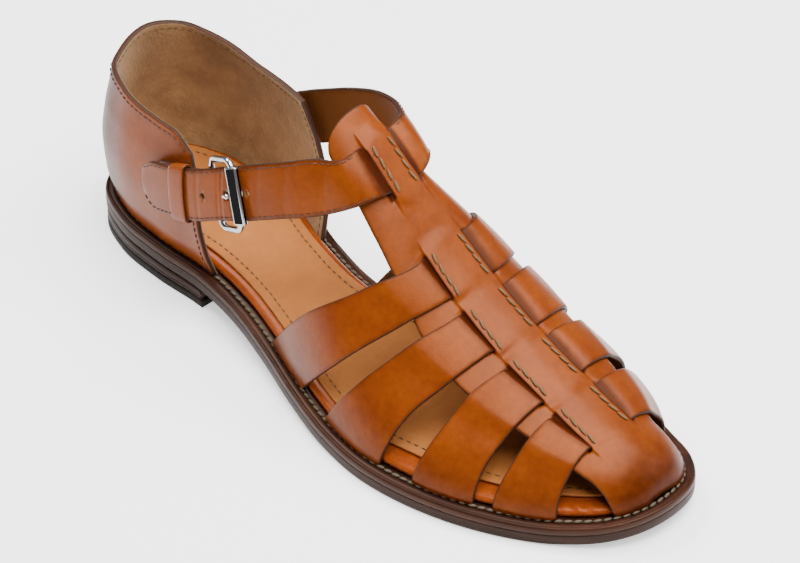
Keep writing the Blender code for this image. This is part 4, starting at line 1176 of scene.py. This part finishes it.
def new_group(name, inputs, outputs):
    """An empty shader group; its inputs are numbers with their defaults."""
    group = bpy.data.node_groups.new(name, "ShaderNodeTree")
    for label, value in inputs:
        socket = group.interface.new_socket(label, in_out="INPUT", socket_type="NodeSocketFloat")
        socket.default_value = value
    for label, kind in outputs:
        group.interface.new_socket(label, in_out="OUTPUT", socket_type="NodeSocket" + kind)
    start = group.nodes.new("NodeGroupInput")
    return group, start.outputs, group.nodes.new("NodeGroupOutput")


def leather_group():
    """Mottle, fine pull-up variation and grain normal of smooth leather."""
    g, given, end = new_group(
        "Leather grain",
        (("Grain size", 1900.0), ("Grain depth", 0.1), ("Mottle size", 45.0)),
        (("Mottle", "Float"), ("Fine", "Float"), ("Normal", "Vector")))
    where = place_of(g)
    fine = noise(g, where, 420.0, 3.0)
    cells = node(g, "ShaderNodeTexVoronoi", {"Vector": where, "Scale": given["Grain size"]},
                 feature="SMOOTH_F1")
    height = math_node(g, "MULTIPLY_ADD", fine, 0.6, cells.outputs["Distance"])
    feed(g, end, {"Mottle": noise(g, where, given["Mottle size"], 5.0, 0.62), "Fine": fine,
                  "Normal": bump(g, height, 0.0004, given["Grain depth"])})
    return g


def wear_group():
    """Painted-edge mask, and a mask of burnish with painted shade, from the piece's own
    attributes, broken up a little.
    """
    g, given, end = new_group("Edge, burnish and shade", (("Break up", 0.35),),
                              (("Edge", "Float"), ("Burnish and shade", "Float")))
    centred = math_node(g, "SUBTRACT", noise(g, place_of(g), 260.0), 0.5)
    for label, attribute, low, high in (("Edge", "paint", 0.25, 0.75),
                                        ("Burnish and shade", "burn_and_shade", 0.02, 1.0)):
        mask = node(g, "ShaderNodeAttribute", {}, attribute_name=attribute).outputs["Fac"]
        shifted = math_node(g, "MULTIPLY_ADD", centred, given["Break up"], mask)
        feed(g, end, {label: spread(g, shifted, low, high, kind="SMOOTHSTEP")})
    return g


def base_material(name, roughness, **inputs):
    """A material, its node tree and its shader."""
    m = bpy.data.materials.new(name)
    m.use_nodes = True
    shader = m.node_tree.nodes["Principled BSDF"]
    inputs = {key.replace("_", " "): value for key, value in inputs.items()}
    feed(m.node_tree, shader, {"Roughness": roughness, **inputs})
    return m, m.node_tree, shader


def skin_and_wear(tree, groups, **grain):
    """The two shared groups' outputs."""
    grain = {key.replace("_", " "): value for key, value in grain.items()}
    return (node(tree, "ShaderNodeGroup", grain, node_tree=groups["leather"]).outputs,
            node(tree, "ShaderNodeGroup", {}, node_tree=groups["wear"]).outputs)


def smooth_leather(name, groups, light, mid, dark, edge, roughness, grain, gloss):
    """Polished leather: mottled, darker where burnished and where shade is painted, with painted
    cut edges.
    """
    m, tree, shader = base_material(name, roughness, Specular_Tint=LEATHER_SHINE)
    grained, worn = skin_and_wear(tree, groups, Grain_depth=grain)
    colour = mix_colour(tree, spread(tree, grained["Mottle"], 0.34, 0.68), light, mid)
    colour = mix_colour(tree, spread(tree, grained["Fine"], 0.35, 0.75, 0.0, 0.22), colour, dark)
    colour = mix_colour(tree, worn["Burnish and shade"], colour, dark)
    feed(tree, shader, {
        "Base Color": mix_colour(tree, worn["Edge"], colour, edge),
        "Roughness": spread(tree, worn["Edge"], 0.0, 1.0, roughness, 0.5),
        "Specular IOR Level": spread(tree, worn["Burnish and shade"], 0.0, 0.8, gloss, gloss * 0.5),
        "Normal": grained["Normal"]})
    return m


def suede(name, groups, light, dark, edge):
    """Napped leather with a sheen, and painted cut edges."""
    m, tree, shader = base_material(name, 0.92, Sheen_Weight=0.35, Sheen_Roughness=0.5,
                                    Sheen_Tint=(0.95, 0.75, 0.5))
    grained, worn = skin_and_wear(tree, groups, Grain_size=900.0, Grain_depth=0.5,
                                  Mottle_size=70.0)
    colour = mix_colour(tree, spread(tree, grained["Mottle"], 0.36, 0.64), light, dark)
    colour = mix_colour(tree, spread(tree, grained["Fine"], 0.4, 0.7, 0.0, 0.35), colour, dark)
    feed(tree, shader, {"Base Color": mix_colour(tree, worn["Edge"], colour, edge),
                        "Normal": grained["Normal"]})
    return m


def layered_edge(name, light, dark, roughness):
    """Sole edge: stacked leather with fine lines that follow the layers."""
    m, tree, shader = base_material(name, roughness, Specular_IOR_Level=0.2,
                                    Specular_Tint=(1.0, 0.7, 0.55))
    where = place_of(tree)
    flat = node(tree, "ShaderNodeMapping", {"Vector": where, "Scale": (14.0, 14.0, 1500.0)})
    lines = noise(tree, flat.outputs["Vector"], 1.0, 3.0)
    colour = mix_colour(tree, spread(tree, lines, 0.35, 0.65), dark, light)
    patches = spread(tree, noise(tree, where, 60.0), 0.4, 0.7, 0.0, 0.5)
    feed(tree, shader, {"Base Color": mix_colour(tree, patches, colour, dark),
                        "Normal": bump(tree, lines, 0.0003, 0.35)})
    return m


def thread(name, light, dark):
    """Twisted waxed thread."""
    m, tree, shader = base_material(name, 0.55)
    twist = node(tree, "ShaderNodeTexWave",
                 {"Vector": place_of(tree), "Scale": 900.0, "Distortion": 1.5},
                 bands_direction="DIAGONAL").outputs["Fac"]
    feed(tree, shader, {"Base Color": mix_colour(tree, twist, dark, light),
                        "Normal": bump(tree, twist, 0.0002, 0.4)})
    return m


def plated(name, colour):
    """Polished plate, very finely brushed."""
    m, tree, shader = base_material(name, 0.1, Metallic=1.0, Base_Color=colour)
    brush = noise(tree, place_of(tree), 600.0)
    feed(tree, shader, {"Roughness": spread(tree, brush, 0.3, 0.7, 0.07, 0.16)})
    return m


LEATHERS = (  # finish, name, light, mid and dark colour, roughness, grain, gloss
    ("cognac", "cognac polished leather", "cognac_light", "cognac", "cognac_dark",
     0.3, 0.085, 0.33),
    ("counter", "burnished counter leather", "cognac_light", "cognac", "burnish",
     0.3, 0.085, 0.33),
    ("flesh", "strap lining leather", "flesh", "flesh", "flesh_dark", 0.6, 0.3, 0.15),
    ("smooth_lining", "smooth brown lining", "lining", "lining", "lining_dark",
     0.42, 0.12, 0.3),
    ("rim", "rolled edge leather", "rim_light", "rim", "cognac_dark", 0.27, 0.08, 0.3),
    ("sock", "natural sock leather", "sock_light", "sock", "sock_dark", 0.5, 0.1, 0.15),
    ("raw", "raw cut leather", "raw", "raw", "flesh", 0.7, 0.3, 0.1),
)
THREADS = (  # finish, name, light, dark
    ("welt_thread", "welt thread", (0.11, 0.08, 0.042), (0.045, 0.032, 0.017)),
    ("thick_thread", "ochre thread", (0.17, 0.08, 0.018), (0.07, 0.03, 0.007)),
    ("fine_thread", "fine ochre thread", (0.16, 0.075, 0.02), (0.06, 0.028, 0.008)),
    ("dark_thread", "dark brown thread", (0.06, 0.019, 0.005), (0.025, 0.008, 0.003)),
)


def make_finishes(look):
    groups = {"leather": leather_group(), "wear": wear_group()}
    edge = look.painted_edge
    mats = {
        "suede": suede("tan suede lining", groups, look.suede_light, look.suede_dark, edge),
        "sole": layered_edge("dark sole edge", look.sole_light, look.sole_dark, 0.42),
        "welt": layered_edge("reddish welt leather", look.welt_light, look.welt_dark, 0.36),
        "rubber": layered_edge("black heel rubber", (0.014, 0.0135, 0.0135),
                               (0.009, 0.0085, 0.0085), 0.6),
        "steel": plated("plated steel", (0.5, 0.49, 0.48)),
        # Near-black plate of the broad bar: a painted dark reflection.
        "steel_painted_dark": plated("plate painted near black for its reflection", (0.006, 0.006, 0.007)),
    }
    for key, name, light, mid, dark, *surface in LEATHERS:
        colours = [getattr(look, colour) for colour in (light, mid, dark)]
        mats[key] = smooth_leather(name, groups, *colours, edge, *surface)
    for key, name, light, dark in THREADS:
        mats[key] = thread(name, light, dark)
    return mats


# Sizes and colours

def size(text, millimetres, use):
    """A length, given in millimetres and kept in metres as Blender's unit has it."""
    return FloatProperty(name=text, description=use, default=millimetres * MM, min=0.0,
                         precision=5, subtype="DISTANCE", unit="LENGTH")


def tint(text, value, use):
    return FloatVectorProperty(name=text, description=use, subtype="COLOR", size=3, min=0, max=1,
                               default=value)


class SandalSizes(bpy.types.PropertyGroup):
    """Sizes of the stitches, slots and straps."""
    lift: size("Band over a strap", 0.6, "Rise of the centre band where a strap runs under it")
    ankle_lift: size("Band over the ankle strap", 1.25, "Rise of the band over the ankle strap")
    over: size("Strap over the flange", 1.75, "Height of a strap over the T-bar's flange")
    ramp: size("Ramp at a slot's end", 6.5, "Length over which the band rises beside a slot")
    slot_wide: size("Slot width", 2.2, "Width of the groove that a strap leaves from")
    slot_deep: size("Slot depth", 1.8, "Depth of the groove that a strap leaves from")
    dark_edge: size("Dark margin", 2.6, "Width of the darkened margin along a cut edge")
    crown: size("Crown of a strap", 0.35, "Rise of a strap's middle over its two edges")
    sock_wider: size("Wider sock", 4.0, "How much nearer to the edge the sock lies at the back")
    pleat: size("Pleats of the rolled rim", 0.3, "Height of the rim's pleats round the toe")
    band_stitch: size("Band stitch", 4.1, "Pitch of the thick stitches of the centre band")
    band_stitch_in: size("Band stitch margin", 2.5, "Distance of the stitches from the slot")
    edge_stitch: size("Edge stitch", 2.9, "Pitch of the stitches along the straps' edges")
    edge_stitch_in: size("Edge stitch margin", 2.0, "Distance of the stitches from the edge")
    counter_stitch_in: size("Counter stitch margin", 2.3, "Distance from the counter's edge")
    sock_stitch: size("Sock stitch", 3.5, "Pitch of the stitches round the sock")
    welt_stitch: size("Welt stitch", 3.7, "Pitch of the stitches along the welt")
    welt_stitch_inset: size("Welt stitch margin", 4.6, "Distance of the stitches from the outline")


class SandalLook(bpy.types.PropertyGroup):
    """Colours of the leathers and the sole."""
    cognac_light: tint("Cognac, light", (0.19, 0.038, 0.003), "Light mottle of the straps")
    cognac: tint("Cognac", (0.13, 0.0225, 0.002), "Deep mottle of the straps")
    cognac_dark: tint("Cognac, dark", (0.03, 0.005, 0.001), "Burnish and painted shade of straps and toe cap")
    burnish: tint("Heel burnish", (0.03, 0.007, 0.003), "Burnish at the back of the counter")
    painted_edge: tint("Painted edge", (0.03, 0.0118, 0.0065), "Paint on the cut edges")
    flesh: tint("Flesh side", (0.16, 0.075, 0.03), "Inside of straps and T-bar")
    flesh_dark: tint("Flesh side, dark", (0.07, 0.03, 0.013), "Dark grain, burnish and painted shade of the inside")
    lining: tint("Smooth lining", (0.13, 0.045, 0.012), "Inside of the inner ankle strap")
    lining_dark: tint("Smooth lining, dark", (0.07, 0.022, 0.006), "Dark grain, burnish and painted shade of that lining")
    rim_light: tint("Rolled rim, light", (0.27, 0.05, 0.006), "Light mottle of the rolled rim")
    rim: tint("Rolled rim", (0.19, 0.032, 0.004), "Deep mottle of the rolled rim")
    sock_light: tint("Sock, light", (0.37, 0.132, 0.034), "Light mottle of the sock")
    sock: tint("Sock", (0.31, 0.106, 0.027), "Deep mottle of the sock")
    sock_dark: tint("Sock, dark", (0.21, 0.066, 0.016), "Fine dark grain of the sock")
    raw: tint("Raw cut leather", (0.2, 0.1, 0.045), "Wall of the punched holes")
    suede_light: tint("Suede, light", (0.32, 0.17, 0.062), "Light nap of the heel's lining")
    suede_dark: tint("Suede, dark", (0.2, 0.095, 0.031), "Dark nap of the heel's lining")
    sole_light: tint("Sole edge, light", (0.028, 0.0112, 0.0076), "Light layers of the sole")
    sole_dark: tint("Sole edge, dark", (0.009, 0.0037, 0.0027), "Dark layers of the sole")
    welt_light: tint("Welt, light", (0.044, 0.0135, 0.0065), "Light layers of the welt")
    welt_dark: tint("Welt, dark", (0.018, 0.006, 0.0035), "Dark layers of the welt")


FINISHES = {}


def settings(context):
    """The finishes, made once, and the sizes as plain numbers in the unit of the tables."""
    scene = context.scene
    if not FINISHES:
        FINISHES.update(make_finishes(scene.sandal_look))
    group = scene.sandal_sizes
    sizes = {key: getattr(group, key) / MM for key in SandalSizes.__annotations__}
    return FINISHES, SimpleNamespace(**sizes)


# Operators

class SANDAL_OT_sole(bpy.types.Operator):
    """Outsole, heel and the stitched welt."""
    bl_idname = "sandal.sole"
    bl_label = "Sole"
    bl_options = {"REGISTER", "UNDO"}

    def execute(self, context):
        mats, sizes = settings(context)
        make_outsole(mats)
        make_heel(mats)
        make_welt(mats, sizes)
        return {"FINISHED"}


class SANDAL_OT_footbed(bpy.types.Operator):
    """Rolled rim and stitched sock."""
    bl_idname = "sandal.footbed"
    bl_label = "Footbed"
    bl_options = {"REGISTER", "UNDO"}

    def execute(self, context):
        make_footbed(*settings(context))
        return {"FINISHED"}


class SANDAL_OT_upper(bpy.types.Operator):
    """T-bar, toe cap, cross straps and the stitches that hold them."""
    bl_idname = "sandal.upper"
    bl_label = "Upper"
    bl_options = {"REGISTER", "UNDO"}

    def execute(self, context):
        mats, sizes = settings(context)
        make_tbar(mats, sizes)
        make_straps(mats, sizes)
        return {"FINISHED"}


class SANDAL_OT_counter(bpy.types.Operator):
    """Closed heel with its suede lining and the buckle's tab."""
    bl_idname = "sandal.counter"
    bl_label = "Counter"
    bl_options = {"REGISTER", "UNDO"}

    def execute(self, context):
        make_counter(*settings(context))
        return {"FINISHED"}


class SANDAL_OT_ankle(bpy.types.Operator):
    """The two halves of the ankle strap, stitched and punched."""
    bl_idname = "sandal.ankle"
    bl_label = "Ankle straps"
    bl_options = {"REGISTER", "UNDO"}

    def execute(self, context):
        make_ankle_straps(*settings(context))
        return {"FINISHED"}


class SANDAL_OT_buckle(bpy.types.Operator):
    """Plated frame, prong and leather keeper."""
    bl_idname = "sandal.buckle"
    bl_label = "Buckle"
    bl_options = {"REGISTER", "UNDO"}

    def execute(self, context):
        mats, _ = settings(context)
        make_buckle(mats)
        make_keeper(mats)
        return {"FINISHED"}


EYE = (-0.79755, -0.82654, 0.98697)
AIM = (0.0171, 0.0, 0.03)
LENS = 172.0             # a little wider than the photograph, which crops the heel
WORLD_LIGHT = 0.28
FLOOR_GLOW = 0.85        # lifts the floor toward white, but not in the leather's reflections
LIGHTS = (  # name, place, aim, width, length, power
    ("overhead softbox", (0.12, -0.3, 1.35), (0, 0, 0.03), 1.5, 1.0, 58.0),
    ("front softbox", (0.95, -1.05, 0.85), (0, 0, 0.04), 1.1, 0.8, 9.0),
    ("back softbox", (0.0, 0.95, 1.3), (0, 0, 0.04), 1.1, 0.6, 26.0),
)


def aimed(name, data, place, aim):
    """An object at a place that looks at another."""
    ob = add_object(name, data)
    ob.location = place
    ob.rotation_euler = (Vector(aim) - Vector(place)).to_track_quat("-Z", "Y").to_euler()
    return ob


class SANDAL_OT_stage(bpy.types.Operator):
    """Pale floor, soft studio lights and the camera at the photograph's angle."""
    bl_idname = "sandal.stage"
    bl_label = "Stage"
    bl_options = {"REGISTER", "UNDO"}

    def execute(self, context):
        paper, tree, shader = base_material("pale paper floor", 0.85, Base_Color=(0.95,) * 3,
                                            Emission_Color=(1.0,) * 3)
        glossy = node(tree, "ShaderNodeLightPath", {}).outputs["Is Glossy Ray"]
        feed(tree, shader, {"Emission Strength": spread(tree, glossy, 0.0, 1.0, FLOOR_GLOW, 0.0)})
        bm = bmesh.new()
        bmesh.ops.create_grid(bm, x_segments=2, y_segments=2, size=3.0)
        add_object("floor", mesh_of("floor", bm, [paper]))
        world = bpy.data.worlds.new("studio")
        world.use_nodes = True
        context.scene.world = world
        feed(world.node_tree, world.node_tree.nodes["Background"],
             {"Color": (1.0, 1.0, 1.0), "Strength": WORLD_LIGHT})
        for name, place, aim, wide, long, power in LIGHTS:
            lamp = bpy.data.lights.new(name, "AREA")
            lamp.shape = "RECTANGLE"
            lamp.size = wide
            lamp.size_y = long
            lamp.energy = power
            aimed(name, lamp, place, aim)
        camera = bpy.data.cameras.new("photo_angle")
        camera.lens = LENS
        camera.sensor_width = 36.0
        camera.clip_end = 20.0
        context.scene.camera = aimed("photo_angle", camera, EYE, AIM)
        return {"FINISHED"}


STEPS = (SANDAL_OT_sole, SANDAL_OT_footbed, SANDAL_OT_upper, SANDAL_OT_counter,
         SANDAL_OT_ankle, SANDAL_OT_buckle, SANDAL_OT_stage)


class SANDAL_PT_panel(bpy.types.Panel):
    """Buttons for the steps, and the sizes and colours they use."""
    bl_label = "Fisherman sandal"
    bl_space_type = "VIEW_3D"
    bl_region_type = "UI"
    bl_category = "Sandal"

    def draw(self, context):
        for step in STEPS:
            self.layout.operator(step.bl_idname)
        for group in (context.scene.sandal_sizes, context.scene.sandal_look):
            box = self.layout.box()
            for key in type(group).__annotations__:
                box.prop(group, key)


CLASSES = (SandalSizes, SandalLook) + STEPS + (SANDAL_PT_panel,)


def register():
    for c in CLASSES:
        bpy.utils.register_class(c)
    bpy.types.Scene.sandal_sizes = PointerProperty(type=SandalSizes)
    bpy.types.Scene.sandal_look = PointerProperty(type=SandalLook)


def unregister():
    del bpy.types.Scene.sandal_look
    del bpy.types.Scene.sandal_sizes
    for c in reversed(CLASSES):
        bpy.utils.unregister_class(c)


def main():
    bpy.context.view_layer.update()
    register()
    bpy.ops.sandal.sole()
    bpy.ops.sandal.footbed()
    bpy.ops.sandal.upper()
    bpy.ops.sandal.counter()
    bpy.ops.sandal.ankle()
    bpy.ops.sandal.buckle()
    bpy.ops.sandal.stage()


if __name__ == "__main__":
    main()
